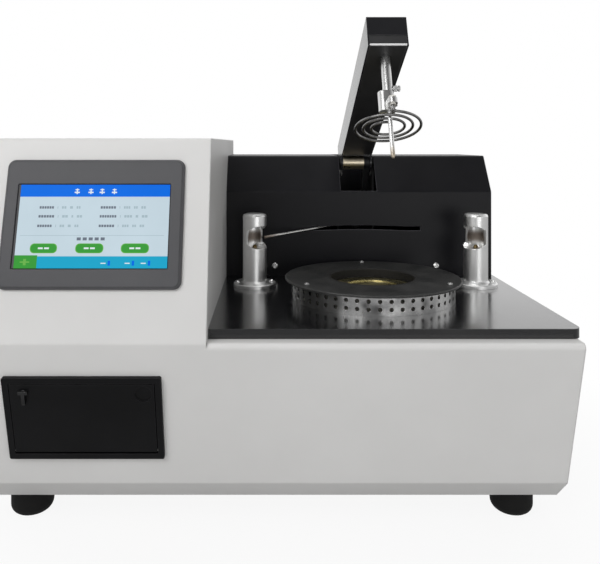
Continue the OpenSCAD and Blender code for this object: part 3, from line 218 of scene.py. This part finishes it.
def finish(name, low, high, rough, metal=0.0, grain=700.0, cloud=6.0, stretch=(1, 1, 1), depth=0.00002,
           edge=0.0006, edge_shading_and_wear=None, coat=0.0, specular=0.5, stains_and_painted_light=()):
    """A finish with its colour between low and high, its roughness over rough, and a colour painted along its edges,
    mostly a painted highlight, together with wear.
    Spots hold stains, painted shade and painted reflections; each is a place, the distances where it is full and gone,
    and its colour."""
    made = bpy.data.materials.new(name)
    made.use_nodes = True
    tree = made.node_tree
    bsdf = tree.nodes["Principled BSDF"]
    bsdf.inputs["Metallic"].default_value = metal
    bsdf.inputs["Specular IOR Level"].default_value = specular
    bsdf.inputs["Coat Weight"].default_value = coat
    bsdf.inputs["Coat Roughness"].default_value = COAT_ROUGHNESS
    noise = add(tree, "ShaderNodeGroup", {"node_tree": grain_group}, Grain=grain, Cloud=cloud, Stretch=stretch)
    rims = add(tree, "ShaderNodeGroup", {"node_tree": edge_group}, Radius=edge)
    colour = mixed(tree, noise.outputs["Clouds"], low, high)
    # Edges take the edge colour: mostly a painted highlight, together with wear
    colour = mixed(tree, math_node(tree, "MULTIPLY", rims.outputs["Edge"], EDGE_SHADING_AND_WEAR), colour, edge_shading_and_wear or high)
    wear = add(tree, "ShaderNodeMath", {"operation": "MULTIPLY_ADD"}, n0=noise.outputs["Fine"], n1=FINE_SHARE,
               n2=math_node(tree, "MULTIPLY", noise.outputs["Clouds"], 1 - FINE_SHARE))
    shine = add(tree, "ShaderNodeMapRange", Value=wear.outputs[0], From_Min=0.2, From_Max=0.75,
                To_Min=rough[0], To_Max=rough[1])
    for place, inner, outer, spot_colour in stains_and_painted_light:
        spot = add(tree, "ShaderNodeGroup", {"node_tree": near_group}, Centre=place, Inner=inner, Outer=outer)
        colour = mixed(tree, math_node(tree, "MULTIPLY", spot.outputs["Mask"], SPOT_COVER), colour, spot_colour)
        shine = add(tree, "ShaderNodeMath", {"operation": "MULTIPLY_ADD", "use_clamp": True},
                    n0=spot.outputs["Mask"], n1=SPOT_DULLS, n2=shine.outputs[0])
    raised = add(tree, "ShaderNodeBump", Height=noise.outputs["Fine"], Distance=depth, Strength=1.0,
                 Normal=rims.outputs["Normal"])
    tree.links.new(colour, bsdf.inputs["Base Color"])
    tree.links.new(shine.outputs[0], bsdf.inputs["Roughness"])
    tree.links.new(raised.outputs[0], bsdf.inputs["Normal"])
    return types.SimpleNamespace(material=made, tree=tree, bsdf=bsdf, colour=colour)


def dress(made, *names):
    """Puts a finish on CAD nodes."""
    for name in names:
        for slot in cad[name].material_slots:
            slot.material = made.material


# Its edges, the fold and the sill among them, are painted lighter than its face: a painted highlight.
cabinet_white = finish("cabinet_white", (0.70, 0.695, 0.685), (0.75, 0.745, 0.735), (0.34, 0.5), grain=850, cloud=5,
                       depth=0.00004, edge=0.003, edge_shading_and_wear=(0.86, 0.855, 0.84))
dress(cabinet_white, "front_panel", "side_left", "side_right", "tower_cover", "rear_panel", "base_pan")

# Sub deck: folded steel sheet that carries the deck plate, plated in bright zinc, slightly cloudy. The power
# supply's case, the cabinet's screws and the turned pins, shafts and rollers have the same plating.
zinc = finish("zinc_plate", (0.5, 0.5, 0.5), (0.66, 0.65, 0.62), (0.26, 0.45), metal=1.0, grain=500, cloud=40,
              edge_shading_and_wear=(0.8, 0.8, 0.8))
dress(zinc, "sub_deck", "power_supply", "door_pin", "paper_spindle", "lift_shaft", "tail_rollers", "case_screws")

# Screws: turned dome heads with a hexagon socket, in polished stainless steel. One screw is modelled for each
# size in millimetres, and set out on its places by Geometry Nodes.
chrome = finish("chrome", (0.72, 0.72, 0.72), (0.85, 0.85, 0.84), (0.08, 0.18), metal=1.0, grain=300, cloud=60,
                depth=0.0, edge=0.0003)
dull_steel = finish("dull_steel", (0.30, 0.30, 0.30), (0.44, 0.44, 0.43), (0.3, 0.5), metal=1.0, grain=420, cloud=80,
                    edge=0.0003, edge_shading_and_wear=(0.6, 0.6, 0.6))
MM = 0.001


def metres(*place):
    """A place given in mm, in the scene's metres."""
    return tuple(c * MM for c in place)


def turned(name, rings, steps=36):
    """A closed turned solid from rings of a radius and a height in mm, where a radius may depend on the angle."""
    bm = bmesh.new()
    loops = []
    for radius, height in rings:
        loop = []
        for i in range(steps):
            angle = math.tau * i / steps
            r = radius(angle) if callable(radius) else radius
            loop.append(bm.verts.new(metres(r * math.cos(angle), r * math.sin(angle), height)))
        loops.append(loop)
    for low, high in zip(loops, loops[1:]):
        for i in range(steps):
            j = (i + 1) % steps
            bm.faces.new((low[i], low[j], high[j], high[i]))
    bm.faces.new(loops[0][::-1])
    bm.faces.new(loops[-1])
    bmesh.ops.recalc_face_normals(bm, faces=bm.faces)
    mesh = bpy.data.meshes.new(name)
    bm.to_mesh(mesh)
    bm.free()
    return mesh


def socket_screw(head, shank, length):
    """A dome-headed screw with its head's underside at zero height, from its shank's end up to its socket's floor."""
    chamfer, flat_r, top, socket_r, socket_floor = 0.1, head * 0.29, head * 0.345, head * 0.22, head * 0.1

    def hexagon(angle):
        return socket_r / math.cos((angle + math.pi / 6) % (math.pi / 3) - math.pi / 6)

    dome = [(head * (0.5 - 0.018 * i * i), head * (0.12 + 0.062 * i)) for i in range(4)]
    return turned("socket_screw", [(shank / 2, -length), (shank / 2, 0), (head / 2 - chamfer, 0),
                                   (head / 2, 2 * chamfer), *dome, (flat_r, top), (hexagon, top),
                                   (hexagon, socket_floor)])


def end_tree(tree, geometry, material):
    """The end of a Geometry Nodes tree: its instances made real, in one material."""
    real = add(tree, "GeometryNodeRealizeInstances", Geometry=geometry)
    coloured = add(tree, "GeometryNodeSetMaterial", Geometry=real.outputs[0], Material=material)
    add(tree, "NodeGroupOutput", Geometry=coloured.outputs[0])


# Geometry Nodes: one object set on each point of a mesh, with its own Z axis along the point's facing
set_out = bpy.data.node_groups.new("set_out_on_points", "GeometryNodeTree")
socket(set_out, "Geometry", "NodeSocketGeometry")
set_out_object = socket(set_out, "Piece", "NodeSocketObject")
set_out_material = socket(set_out, "Material", "NodeSocketMaterial")
socket(set_out, "Geometry", "NodeSocketGeometry", out=True)
given = add(set_out, "NodeGroupInput")
facing = add(set_out, "GeometryNodeInputNamedAttribute", {"data_type": "FLOAT_VECTOR"}, Name="facing")
turn = add(set_out, "FunctionNodeAlignRotationToVector", {"axis": "Z"}, Vector=facing.outputs[0])
piece = add(set_out, "GeometryNodeObjectInfo", Object=given.outputs["Piece"])
placed = add(set_out, "GeometryNodeInstanceOnPoints", Points=given.outputs["Geometry"],
             Instance=piece.outputs["Geometry"], Rotation=turn.outputs[0])
end_tree(set_out, placed.outputs[0], given.outputs["Material"])


def grown(name, start, tree, settings, body, replaced):
    """Makes a piece by a Geometry Nodes tree from a start mesh, and keeps it as a plain mesh that rides on a body."""
    source = bpy.data.objects.new(name + "_start", start)
    scene.collection.objects.link(source)
    modifier = source.modifiers.new("grow", "NODES")
    modifier.node_group = tree
    for key, value in settings.items():
        modifier[key] = value
    source.update_tag()
    ready = source.evaluated_get(bpy.context.evaluated_depsgraph_get())
    mesh = bpy.data.meshes.new_from_object(ready)
    mesh.name = name
    bpy.data.objects.remove(source)
    made = bpy.data.objects.new(name, mesh)
    scene.collection.objects.link(made)
    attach(made, body)
    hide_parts(replaced)


def set_screws(name, mesh, material, places, facing, body, replaced):
    """Sets out screws of one size at places in mm, all facing one way."""
    pattern = bpy.data.objects.new(name + "_pattern", mesh)
    scene.collection.objects.link(pattern)
    start = bpy.data.meshes.new(name + "_places")
    start.from_pydata([metres(*place) for place in places], [], [])
    facings = start.attributes.new("facing", "FLOAT_VECTOR", "POINT")
    for item in facings.data:
        item.vector = facing
    grown(name, start, set_out, {set_out_object: pattern, set_out_material: material.material}, body, replaced)
    bpy.data.objects.remove(pattern)


FORWARD, UPWARD = (0, -1, 0), (0, 0, 1)
HOUSING_Y, HOUSING_SCREW_Z = 51.5, 237
housing_places = [(x, HOUSING_Y, HOUSING_SCREW_Z) for x in (4, 230)]
set_screws("housing_screw_heads", socket_screw(head=9, shank=4, length=8), chrome, housing_places, FORWARD,
           "root", "housing_screws")
CUP_X, CUP_Y, DECK_Z = 122.0, -72.5, 223.0
FLANGE_SCREW_R, FLANGE_TOP = 95, 23.8
flange_places = [(CUP_X + FLANGE_SCREW_R * math.cos(math.radians(angle)),
                  CUP_Y + FLANGE_SCREW_R * math.sin(math.radians(angle)), DECK_Z + FLANGE_TOP)
                 for angle in (90, 210, 330)]
set_screws("flange_screw_heads", socket_screw(head=6.5, shank=2.4, length=8.5), dull_steel, flange_places, UPWARD,
           "root", "flange_screws")
POST_SIDE, POST_Y, POST_FLANGE_TOP, POST_SCREW_X, POST_SCREW_Y = 144.5, -12.5, 5, 22, 3
post_places = [(CUP_X + side * POST_SIDE + end * POST_SCREW_X, POST_Y - side * end * POST_SCREW_Y,
                DECK_Z + POST_FLANGE_TOP) for side in (-1, 1) for end in (-1, 1)]
set_screws("post_screw_heads", socket_screw(head=6.5, shank=4, length=14), chrome, post_places, UPWARD,
           "root", "post_screws")

# Feet: moulded black rubber bumpers with a rounded lower edge, each held to the base pan by a screw up through
# its middle. The printer's platen roller is of the same rubber.
rubber = finish("foot_rubber", (0.004, 0.004, 0.004), (0.009, 0.009, 0.0085), (0.55, 0.8), grain=1200, cloud=60,
                depth=0.00008, edge=0.0015, edge_shading_and_wear=(0.03, 0.03, 0.03), specular=0.25)
dress(rubber, "feet", "platen_roller")

# Deck plate: 10 mm plate in gloss black, polished enough to mirror what stands on it, with a little dust and haze.
# It lies on the sub deck and is drilled for the heater and for the posts' screws.
deck_black = finish("deck_gloss_black", (0.002, 0.002, 0.003), (0.005, 0.005, 0.006), (0.15, 0.23), grain=160, cloud=9,
                    depth=0.0, edge=0.0012, edge_shading_and_wear=(0.012, 0.012, 0.013), coat=0.75)
deck_black.bsdf.inputs["Coat Roughness"].default_value = 0.17
dress(deck_black, "deck_plate")

# Rear housing: folded sheet in satin black powder coat, slotted for the head arm and for the ignition tube. Two
# chrome dome screws in its front hold it.
# Its edges, the bend below its slope among them, are painted light grey: a painted highlight.
housing_black = finish("housing_satin_black", (0.005, 0.005, 0.0065), (0.009, 0.009, 0.011), (0.30, 0.42), grain=800,
                       cloud=7, depth=0.00003, edge=0.002, edge_shading_and_wear=(0.09, 0.09, 0.10), specular=0.2)
dress(housing_black, "rear_housing")

# Lift: two guide plates of black-finished steel stand behind the housing's slot, with the crank between them.
# The arm's pin, the igniter's hub and the heater's pan and element have the same finish.
blackened = finish("blackened_steel", (0.018, 0.018, 0.019), (0.034, 0.034, 0.035), (0.4, 0.55), metal=0.6,
                   grain=500, cloud=40, edge_shading_and_wear=(0.05, 0.05, 0.05), specular=0.3)
# The heater's pan takes this black so that the band's holes read dark, a painted shade behind them.
dress(blackened, "guide_left", "guide_right", "lift_crank", "arm_pin", "igniter_hub", "heater_pan", "heating_element")

# Display: a moulded dark grey bezel round a touch glass, with the picture lit from behind. The picture is made of
# thin lit patches just over the glass, laid out in mm from the screen's middle.
# Its edges are painted darker than its face.
bezel_grey = finish("bezel_grey", (0.080, 0.080, 0.086), (0.100, 0.100, 0.106), (0.42, 0.58), grain=1500, cloud=10,
                    depth=0.00003, edge=0.0015, edge_shading_and_wear=(0.03, 0.03, 0.032), specular=0.3)
dress(bezel_grey, "display_bezel")
glass_black = finish("screen_glass", (0.01, 0.01, 0.012), (0.014, 0.014, 0.016), (0.04, 0.1), grain=90, cloud=20,
                     depth=0.0)
dress(glass_black, "display_glass")
module_metal = finish("module_metal", (0.42, 0.42, 0.43), (0.52, 0.52, 0.53), (0.3, 0.5), metal=1.0, grain=400,
                      cloud=30)
dress(module_metal, "display_module")
FOLD_Y, FOLD_Z, TOWER_LEAN = -236.5, 213.0, math.radians(75)
SCREEN_X, SCREEN_UP, GLASS_OUT, PATCH_GAP = -181.5, 115.0, 5.0, 0.02


def tower_face(x, v, w):
    """A place on the leaning tower front: mm from the middle, up the face from the fold, and out of it."""
    up = Vector((0, math.cos(TOWER_LEAN), math.sin(TOWER_LEAN)))
    out = Vector((0, -math.sin(TOWER_LEAN), math.cos(TOWER_LEAN)))
    return (Vector((x, FOLD_Y, FOLD_Z)) + v * up + w * out) * MM


def glowing(name, colour, strength=0.92):
    """The material of the lit patches of one colour."""
    made = bpy.data.materials.new(name)
    made.use_nodes = True
    tree = made.node_tree
    bsdf = tree.nodes["Principled BSDF"]
    noise = add(tree, "ShaderNodeGroup", {"node_tree": grain_group}, Grain=60.0, Cloud=14.0)
    shade = mixed(tree, noise.outputs["Clouds"], [c * 0.93 for c in colour], colour)
    tree.links.new(shade, bsdf.inputs["Emission Color"])
    bsdf.inputs["Emission Strength"].default_value = strength
    bsdf.inputs["Base Color"].default_value = (0.001, 0.001, 0.001, 1)
    bsdf.inputs["Roughness"].default_value = 0.3
    bsdf.inputs["Specular IOR Level"].default_value = 0.05
    return made


screen_colours = {
    "screen_border": (0.10, 0.10, 0.105), "screen_blue": (0.0, 0.165, 0.86), "screen_pale": (0.62, 0.75, 0.83),
    "screen_text": (0.17, 0.2, 0.25), "screen_green": (0.05, 0.36, 0.05), "screen_cyan": (0.015, 0.42, 0.66),
    "screen_lime": (0.17, 0.50, 0.09), "screen_white": (0.85, 0.93, 0.97), "screen_line": (0.42, 0.54, 0.6)}
screen_slots = list(screen_colours)
patches = bmesh.new()


def patch(colour, x0, v0, x1, v1, lift, round_r=0.0):
    """Adds a thin raised patch to the picture, with its corners rounded if a radius is given."""
    corners = []
    for cx, cv, start in ((x1, v1, 0), (x0, v1, 90), (x0, v0, 180), (x1, v0, 270)):
        steps = 6 if round_r else 1
        for i in range(steps):
            a = math.radians(start + 90 * (i / (steps - 1) if steps > 1 else 0))
            centre_x = cx - math.copysign(round_r, cx - (x0 + x1) / 2)
            centre_v = cv - math.copysign(round_r, cv - (v0 + v1) / 2)
            corners.append((centre_x + round_r * math.cos(a), centre_v + round_r * math.sin(a)))
    low = [patches.verts.new(tower_face(SCREEN_X + x, SCREEN_UP + v, GLASS_OUT + PATCH_GAP)) for x, v in corners]
    high = [patches.verts.new(tower_face(SCREEN_X + x, SCREEN_UP + v, GLASS_OUT + lift)) for x, v in corners]
    faces = [patches.faces.new(high), patches.faces.new(low[::-1])]
    for i in range(len(corners)):
        j = (i + 1) % len(corners)
        faces.append(patches.faces.new((low[i], low[j], high[j], high[i])))
    for face in faces:
        face.material_index = screen_slots.index(colour)


# The picture's fields: a dark edge at the left, a title bar, a pale field and a low bar with a key at its left
EDGE_X, LEFT, RIGHT, TOP = -77.3, -75.3, 77.3, 42.3
TITLE_FOOT, FIELD_FOOT, KEY_X, KEY_TOP = 29.8, -30.4, -52.6, -29.4
# How far the patches stand out of the glass, so that one lies over another
FIELD, MARK, BUTTON_RIM, BUTTON, KEY_MARK, BUTTON_MARK = 0.08, 0.12, 0.10, 0.14, 0.16, 0.18
patch("screen_border", EDGE_X, -TOP, LEFT, TOP, FIELD)
patch("screen_blue", LEFT, TITLE_FOOT, RIGHT, TOP, FIELD)
patch("screen_pale", LEFT, FIELD_FOOT, RIGHT, TITLE_FOOT, FIELD)
patch("screen_cyan", KEY_X, -TOP, RIGHT, FIELD_FOOT, FIELD)
patch("screen_green", LEFT, -TOP, KEY_X, KEY_TOP, MARK)
patch("screen_line", -72.0, -9.9, 73.0, -9.5, MARK)
# Small boxes on the low bar, each with a dash at its left, and signs on the title bar
for x in (18.0, 42.0, 58.0):
    patch("screen_blue", x, -39.6, x + 2.4, -34.8, MARK)
    patch("screen_white", x - 7.0, -37.8, x - 2.0, -36.8, MARK)
for x in (-17.5, -3.5, 8.0, 20.5):
    patch("screen_white", x - 2.6, 33.6, x + 2.6, 35.0, MARK)
    patch("screen_white", x - 0.6, 32.6, x + 0.6, 38.2, MARK)
    patch("screen_white", x - 2.0, 36.6, x + 2.0, 37.6, MARK)
# Three rows of plain marks in two columns, each a long dark mark and paler short ones, split up into small blocks
BLOCK_STEP, BLOCK_GAP, BLOCK_HALF, WORD_GAP, ROW_SHIFT, LONGER = 2.6, 0.55, 1.25, 3.2, 0.4, 1.3
for row, v in enumerate((18.8, 9.7, 0.0)):
    for start, lengths in ((-54.5, (15, 1.2, 5, 2.2, 4.5)), (7.5, (16, 1.2, 7, 3.0, 5))):
        x = start - row * ROW_SHIFT
        for index, length in enumerate(lengths):
            length = length + (LONGER * ((row + index) % 2) if index != 1 else 0)
            steps = max(1, round(length / BLOCK_STEP))
            colour = "screen_text" if index == 0 else "screen_line"
            for i in range(steps):
                left = x + i * length / steps
                patch(colour, left, v - BLOCK_HALF, left + length / steps - BLOCK_GAP, v + BLOCK_HALF, MARK)
            x += length + WORD_GAP
# A row of blocks under the line, three round buttons with two marks each, and a cross on the key
for i in range(5):
    patch("screen_text", -14.5 + i * 6.0, -14.6, -10.4 + i * 6.0, -11.6, MARK)
for x0, x1 in ((-60.0, -34.2), (-14.6, 12.2), (31.0, 57.8)):
    middle = (x0 + x1) / 2
    patch("screen_lime", x0 - 0.7, -27.4, x1 + 0.7, -17.6, BUTTON_RIM, 4.2)
    patch("screen_green", x0, -26.8, x1, -18.2, BUTTON, 4.0)
    patch("screen_white", middle - 5.5, -23.3, middle - 0.7, -21.6, BUTTON_MARK)
    patch("screen_white", middle + 0.7, -23.3, middle + 5.5, -21.6, BUTTON_MARK)
patch("screen_lime", -69.5, -36.8, -60.0, -35.4, KEY_MARK)
patch("screen_lime", -66.2, -39.2, -63.4, -33.0, KEY_MARK)
picture_mesh = bpy.data.meshes.new("screen_picture")
patches.to_mesh(picture_mesh)
patches.free()
for name, colour in screen_colours.items():
    picture_mesh.materials.append(glowing(name, colour))
picture = bpy.data.objects.new("screen_picture", picture_mesh)
scene.collection.objects.link(picture)
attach(picture, "root")

# Printer: a black moulded frame and a hinged door in the lower front, over a bay with the paper roll. A dark
# plated latch turns in the door. The power inlet and its switch at the back are of the same black plastic, and
# the fan is grey like the printer's module.
# Its edges are painted a little lighter: a painted highlight.
printer_black = finish("printer_black", (0.003, 0.003, 0.0035), (0.006, 0.006, 0.007), (0.34, 0.48), grain=1300,
                       cloud=12, depth=0.00003, edge=0.0008, edge_shading_and_wear=(0.018, 0.018, 0.02), specular=0.2)
dress(printer_black, "printer_bezel", "printer_door", "printer_bay", "power_inlet", "power_switch")
latch_grey = finish("latch_grey", (0.03, 0.03, 0.031), (0.06, 0.06, 0.062), (0.3, 0.45), metal=0.8, grain=600, cloud=90,
                    edge=0.0003, edge_shading_and_wear=(0.2, 0.2, 0.2))
dress(latch_grey, "door_latch")
machine_grey = finish("machine_grey", (0.08, 0.085, 0.09), (0.12, 0.125, 0.13), (0.4, 0.6), grain=900, cloud=20)
dress(machine_grey, "printer_module", "fan_frame", "fan_rotor")
paper_white = finish("paper_white", (0.80, 0.79, 0.76), (0.86, 0.855, 0.83), (0.7, 0.9), grain=2500, cloud=30,
                     stretch=(0.1, 1, 1))
dress(paper_white, "paper_roll")

# Heater: a dark heat-resistant flange over a perforated polished band, with brass at the bottom of the well.
# The brass is painted near black towards and up the well's wall, a painted shade, and darker brown round its
# middle. Heat has dulled the flange round its opening. The band is painted darker in patches, standing in for
# dark reflections. Under the brass lies insulation of pale fibre board.
PLATE_TOP = 12.8
well_floor = metres(CUP_X, CUP_Y, DECK_Z + PLATE_TOP)
flange_dark = finish("flange_dark", (0.026, 0.027, 0.027), (0.052, 0.052, 0.050), (0.36, 0.55), metal=0.5,
                     grain=420, cloud=28, depth=0.00005, edge=0.0005, edge_shading_and_wear=(0.30, 0.30, 0.30),
                     stains_and_painted_light=[(well_floor, 0.052, 0.064, (0.016, 0.015, 0.014))])
dress(flange_dark, "heater_flange")


def on_band(angle, radius=98.0, height=11.0):
    """A place on the band's outside, at an angle round from its front."""
    turn = math.radians(angle)
    return metres(CUP_X + radius * math.sin(turn), CUP_Y - radius * math.cos(turn), DECK_Z + height)


# Darker patches painted on the polished band: painted dark reflections
band_dark_reflections = [(on_band(-46), 0.026, 0.040, (0.08, 0.08, 0.078)), (on_band(-13), 0.002, 0.009, (0.10, 0.10, 0.10)),
               (on_band(27), 0.001, 0.012, (0.16, 0.16, 0.158)), (on_band(70), 0.020, 0.036, (0.09, 0.09, 0.088))]
band_steel = finish("band_steel", (0.30, 0.30, 0.305), (0.90, 0.90, 0.89), (0.10, 0.34), metal=1.0, grain=60,
                    cloud=36, stretch=(1, 1, 0.05), depth=0.00003, edge=0.0003, stains_and_painted_light=band_dark_reflections)
dress(band_steel, "heater_band")
# Near black towards and up the well's wall, a painted shade; a darker brown round the middle
well_shade_and_brown_middle = [(well_floor, 0.0515, 0.045, (0.008, 0.007, 0.006)), (well_floor, 0.012, 0.034, (0.22, 0.19, 0.10))]
brass = finish("turned_brass", (0.46, 0.41, 0.20), (0.74, 0.67, 0.40), (0.16, 0.36), metal=1.0, grain=350, cloud=45,
               depth=0.00003, edge=0.0004, edge_shading_and_wear=(0.6, 0.5, 0.28), stains_and_painted_light=well_shade_and_brown_middle)
dress(brass, "heating_plate")
fibre = finish("fibre_board", (0.5, 0.48, 0.43), (0.68, 0.66, 0.6), (0.8, 0.95), grain=900, cloud=50,
               stretch=(1, 1, 4), depth=0.0004)
dress(fibre, "insulation")

# Ignition posts: turned and polished steel, screwed down by their foot flanges. The flame of the brass nozzle in
# each post's notch has stained the notch brown.
NOTCH_UP = 63
notches = [metres(CUP_X + side * POST_SIDE, POST_Y, DECK_Z + NOTCH_UP) for side in (-1, 1)]
post_steel = finish("post_steel", (0.84, 0.84, 0.84), (0.94, 0.94, 0.93), (0.26, 0.38), metal=1.0, grain=120, cloud=22,
                    stretch=(1, 1, 10), depth=0.00001, edge=0.0006,
                    stains_and_painted_light=[(notch, 0.0135, 0.0175, (0.15, 0.11, 0.08)) for notch in notches])
dress(post_steel, "post_left", "post_right")
sooty_brass = finish("sooty_brass", (0.10, 0.08, 0.04), (0.30, 0.22, 0.10), (0.35, 0.55), metal=1.0, grain=500,
                     cloud=120)
dress(sooty_brass, "pilot_nozzles")

# Igniter: a thin bright steel tube in a hub on the motor's shaft, which swings it from post to post across the
# cup. Its tip is browned by the flame.
TUBE_TIP = metres(-9.6, -2.3, 286.0)
tube_steel = finish("tube_steel", (0.58, 0.575, 0.56), (0.76, 0.755, 0.74), (0.2, 0.34), metal=1.0, grain=600,
                    cloud=30, stains_and_painted_light=[(TUBE_TIP, 0.004, 0.032, (0.24, 0.19, 0.15))])
dress(tube_steel, "ignition_tube")
motor_black = finish("motor_black", (0.02, 0.02, 0.021), (0.035, 0.035, 0.037), (0.35, 0.5), grain=900, cloud=18)
dress(motor_black, "igniter_motor", "lift_motor")

# Head arm: an inverted channel in satin black, with a bottom plate and a brass bush at its root. The bottom
# plate's front lip carries a painted highlight, a thin band of light grey. The gas valve in the cabinet is of
# the same brass as the bush.
arm_black = finish("arm_satin_black", (0.008, 0.008, 0.010), (0.014, 0.014, 0.016), (0.26, 0.38), grain=900, cloud=9,
                   depth=0.00002, edge=0.0012, edge_shading_and_wear=(0.08, 0.08, 0.085), coat=0.68, specular=0.1)
arm_black.bsdf.inputs["Coat Roughness"].default_value = 0.12
dress(arm_black, "arm_cover")
RAISED = math.radians(24.5)
ARM_END_Y, ARM_END_Z = -186.5, 511.0


def on_arm(x, y, z):
    """A place on the raised arm, given in mm from its front end: sideways, back along it, and up out of it."""
    return metres(CUP_X + x, ARM_END_Y + y * math.cos(RAISED) + z * math.sin(RAISED),
                  ARM_END_Z - y * math.sin(RAISED) + z * math.cos(RAISED))


bush_brass = finish("bush_brass", (0.60, 0.52, 0.38), (0.80, 0.72, 0.56), (0.24, 0.38), metal=1.0, grain=350,
                    cloud=35, depth=0.00002, edge=0.0004, edge_shading_and_wear=(0.9, 0.8, 0.55))
dress(bush_brass, "arm_bush", "gas_valve")
plate_black = finish("arm_plate_black", (0.020, 0.020, 0.021), (0.034, 0.034, 0.035), (0.3, 0.45), grain=900, cloud=9,
                     depth=0.00003, edge=0.0008, edge_shading_and_wear=(0.12, 0.12, 0.12), specular=0.4)
# A thin band of light grey along the bottom plate's front lip: a painted highlight
tree = plate_black.tree
place = add(tree, "ShaderNodeTexCoord").outputs["Object"]
back = add(tree, "ShaderNodeVectorMath", {"operation": "DOT_PRODUCT"}, n0=place,
           n1=(0, math.cos(RAISED), -math.sin(RAISED)))
lip = (ARM_END_Y * math.cos(RAISED) - ARM_END_Z * math.sin(RAISED)) * MM
lip_highlight = add(tree, "ShaderNodeMapRange", Value=back.outputs["Value"], From_Min=lip + 0.0004, From_Max=lip + 0.0001)
lip_highlight_colour = mixed(tree, lip_highlight.outputs[0], plate_black.colour, (0.8, 0.8, 0.8))
tree.links.new(lip_highlight_colour, plate_black.bsdf.inputs["Base Color"])
dress(plate_black, "arm_base")

# Probe: a turned steel holder on the arm's front end, which clamps the thermometer rod by a knurled thumb screw.
# Heat has tinted the rod's lower end.
PROBE_BACK, PROBE_DOWN, PROBE_D = 24, 118, 4.6
HOLDER_D, THUMB_DOWN, THUMB_SHANK_R = 10.5, 38.0, 1.5
KNOB_R, KNURL_DEPTH, KNURL_RIDGES = 3.05, 0.2, 18
holder_steel = finish("holder_steel", (0.62, 0.62, 0.62), (0.80, 0.80, 0.79), (0.24, 0.32), metal=1.0, grain=900,
                      cloud=40, depth=0.000004, edge=0.0004)
dress(holder_steel, "probe_holder")
rod_steel = finish("rod_steel", (0.80, 0.80, 0.80), (0.92, 0.92, 0.91), (0.22, 0.34), metal=1.0, grain=500, cloud=30,
                   stains_and_painted_light=[(on_arm(0, PROBE_BACK, -PROBE_DOWN), 0.004, 0.022, (0.45, 0.38, 0.28))])
dress(rod_steel, "probe_rod")


def knurl(angle):
    """The knob's radius, with its straight knurl."""
    return KNOB_R + KNURL_DEPTH * math.cos(KNURL_RIDGES * angle)


knob_in, knob_out = HOLDER_D / 2 + 0.3, HOLDER_D / 2 + 8
knob_rings = [(THUMB_SHANK_R, PROBE_D / 2 + 0.2), (THUMB_SHANK_R, knob_in), (2.4, knob_in), (2.7, knob_in + 0.4),
              (knurl, knob_in + 0.9), (knurl, knob_in + 4.4), (2.5, knob_in + 4.8), (2.5, knob_in + 5.4),
              (knurl, knob_in + 5.8), (knurl, knob_out - 0.5), (2.6, knob_out)]
thumb_place = [c * 1000 for c in on_arm(0, PROBE_BACK, -THUMB_DOWN)]
set_screws("thumb_screw_knob", turned("thumb_screw_knob", knob_rings, steps=8 * KNURL_RIDGES), holder_steel,
           [thumb_place], (1, 0, 0), "thumb_screw", "thumb_screw")

# Detection ring: stainless wire wound in three flat turns, then bent up into an insulating bush on the holder.
# Its route has the same form as the solid's and is drawn out to a smooth wire by Geometry Nodes.
wire_steel = finish("ring_wire", (0.16, 0.16, 0.16), (0.34, 0.335, 0.33), (0.22, 0.36), metal=1.0, grain=700, cloud=90)
drawn = bpy.data.node_groups.new("wire_along_path", "GeometryNodeTree")
socket(drawn, "Geometry", "NodeSocketGeometry")
drawn_width = socket(drawn, "Width", "NodeSocketFloat", 0.003)
drawn_material = socket(drawn, "Material", "NodeSocketMaterial")
socket(drawn, "Geometry", "NodeSocketGeometry", out=True)
given = add(drawn, "NodeGroupInput")
route = add(drawn, "GeometryNodeMeshToCurve", Mesh=given.outputs["Geometry"])
outline = add(drawn, "GeometryNodeCurvePrimitiveCircle", Resolution=16,
              Radius=math_node(drawn, "DIVIDE", given.outputs["Width"], 2.0))
wire = add(drawn, "GeometryNodeCurveToMesh", Curve=route.outputs[0], Profile_Curve=outline.outputs[0], Fill_Caps=True)
smooth = add(drawn, "GeometryNodeSetShadeSmooth", Geometry=wire.outputs[0])
end_tree(drawn, smooth.outputs[0], given.outputs["Material"])

RING_BACK, RING_DOWN, RING_R, RING_PITCH = 26.0, 71.0, 38.7, 8.6
RING_TURNS, RING_START, RING_STEPS, BEND_STEPS = 3, 8.0, 96, 10
WIRE_D, WIRE_BEND, EAR_Z, EAR_T, OVER_EAR = 3.0, 4.0, -63.0, 6.0, 3


def ring_point(k):
    """A point of the flat turns, k steps from their outer start."""
    angle = math.radians(RING_START + 360 * k / RING_STEPS)
    radius = RING_R - RING_PITCH * k / RING_STEPS
    return Vector((radius * math.sin(angle), -radius * math.cos(angle), 0))


run = (ring_point(0) - ring_point(1)).normalized()
bend = [ring_point(0) + WIRE_BEND * (math.sin(a) * run + (1 - math.cos(a)) * Vector((0, 0, 1)))
        for a in (math.radians(90 * i / BEND_STEPS) for i in range(BEND_STEPS, 0, -1))]
top = bend[0] + Vector((0, 0, EAR_Z + EAR_T + OVER_EAR + RING_DOWN - WIRE_BEND))
route_points = [top, *bend, *(ring_point(k) for k in range(RING_TURNS * RING_STEPS + 1))]
route_mesh = bpy.data.meshes.new("ring_route")
route_mesh.from_pydata([on_arm(v.x, v.y + PROBE_BACK + RING_BACK, v.z - RING_DOWN) for v in route_points],
                       [(i, i + 1) for i in range(len(route_points) - 1)], [])
grown("detection_ring_wire", route_mesh, drawn, {drawn_width: WIRE_D * MM, drawn_material: wire_steel.material},
      "head_arm", "detection_ring")
ceramic = finish("ceramic", (0.72, 0.70, 0.64), (0.80, 0.78, 0.73), (0.2, 0.34), grain=600, cloud=60, coat=0.4)
dress(ceramic, "ring_bush")

# Main board: a glass-fibre circuit board with green solder mask. It stands on studs in the base pan, behind the
# printer bay.
board_green = finish("board_green", (0.012, 0.09, 0.035), (0.02, 0.12, 0.05), (0.25, 0.4), grain=300, cloud=50)
dress(board_green, "main_board")
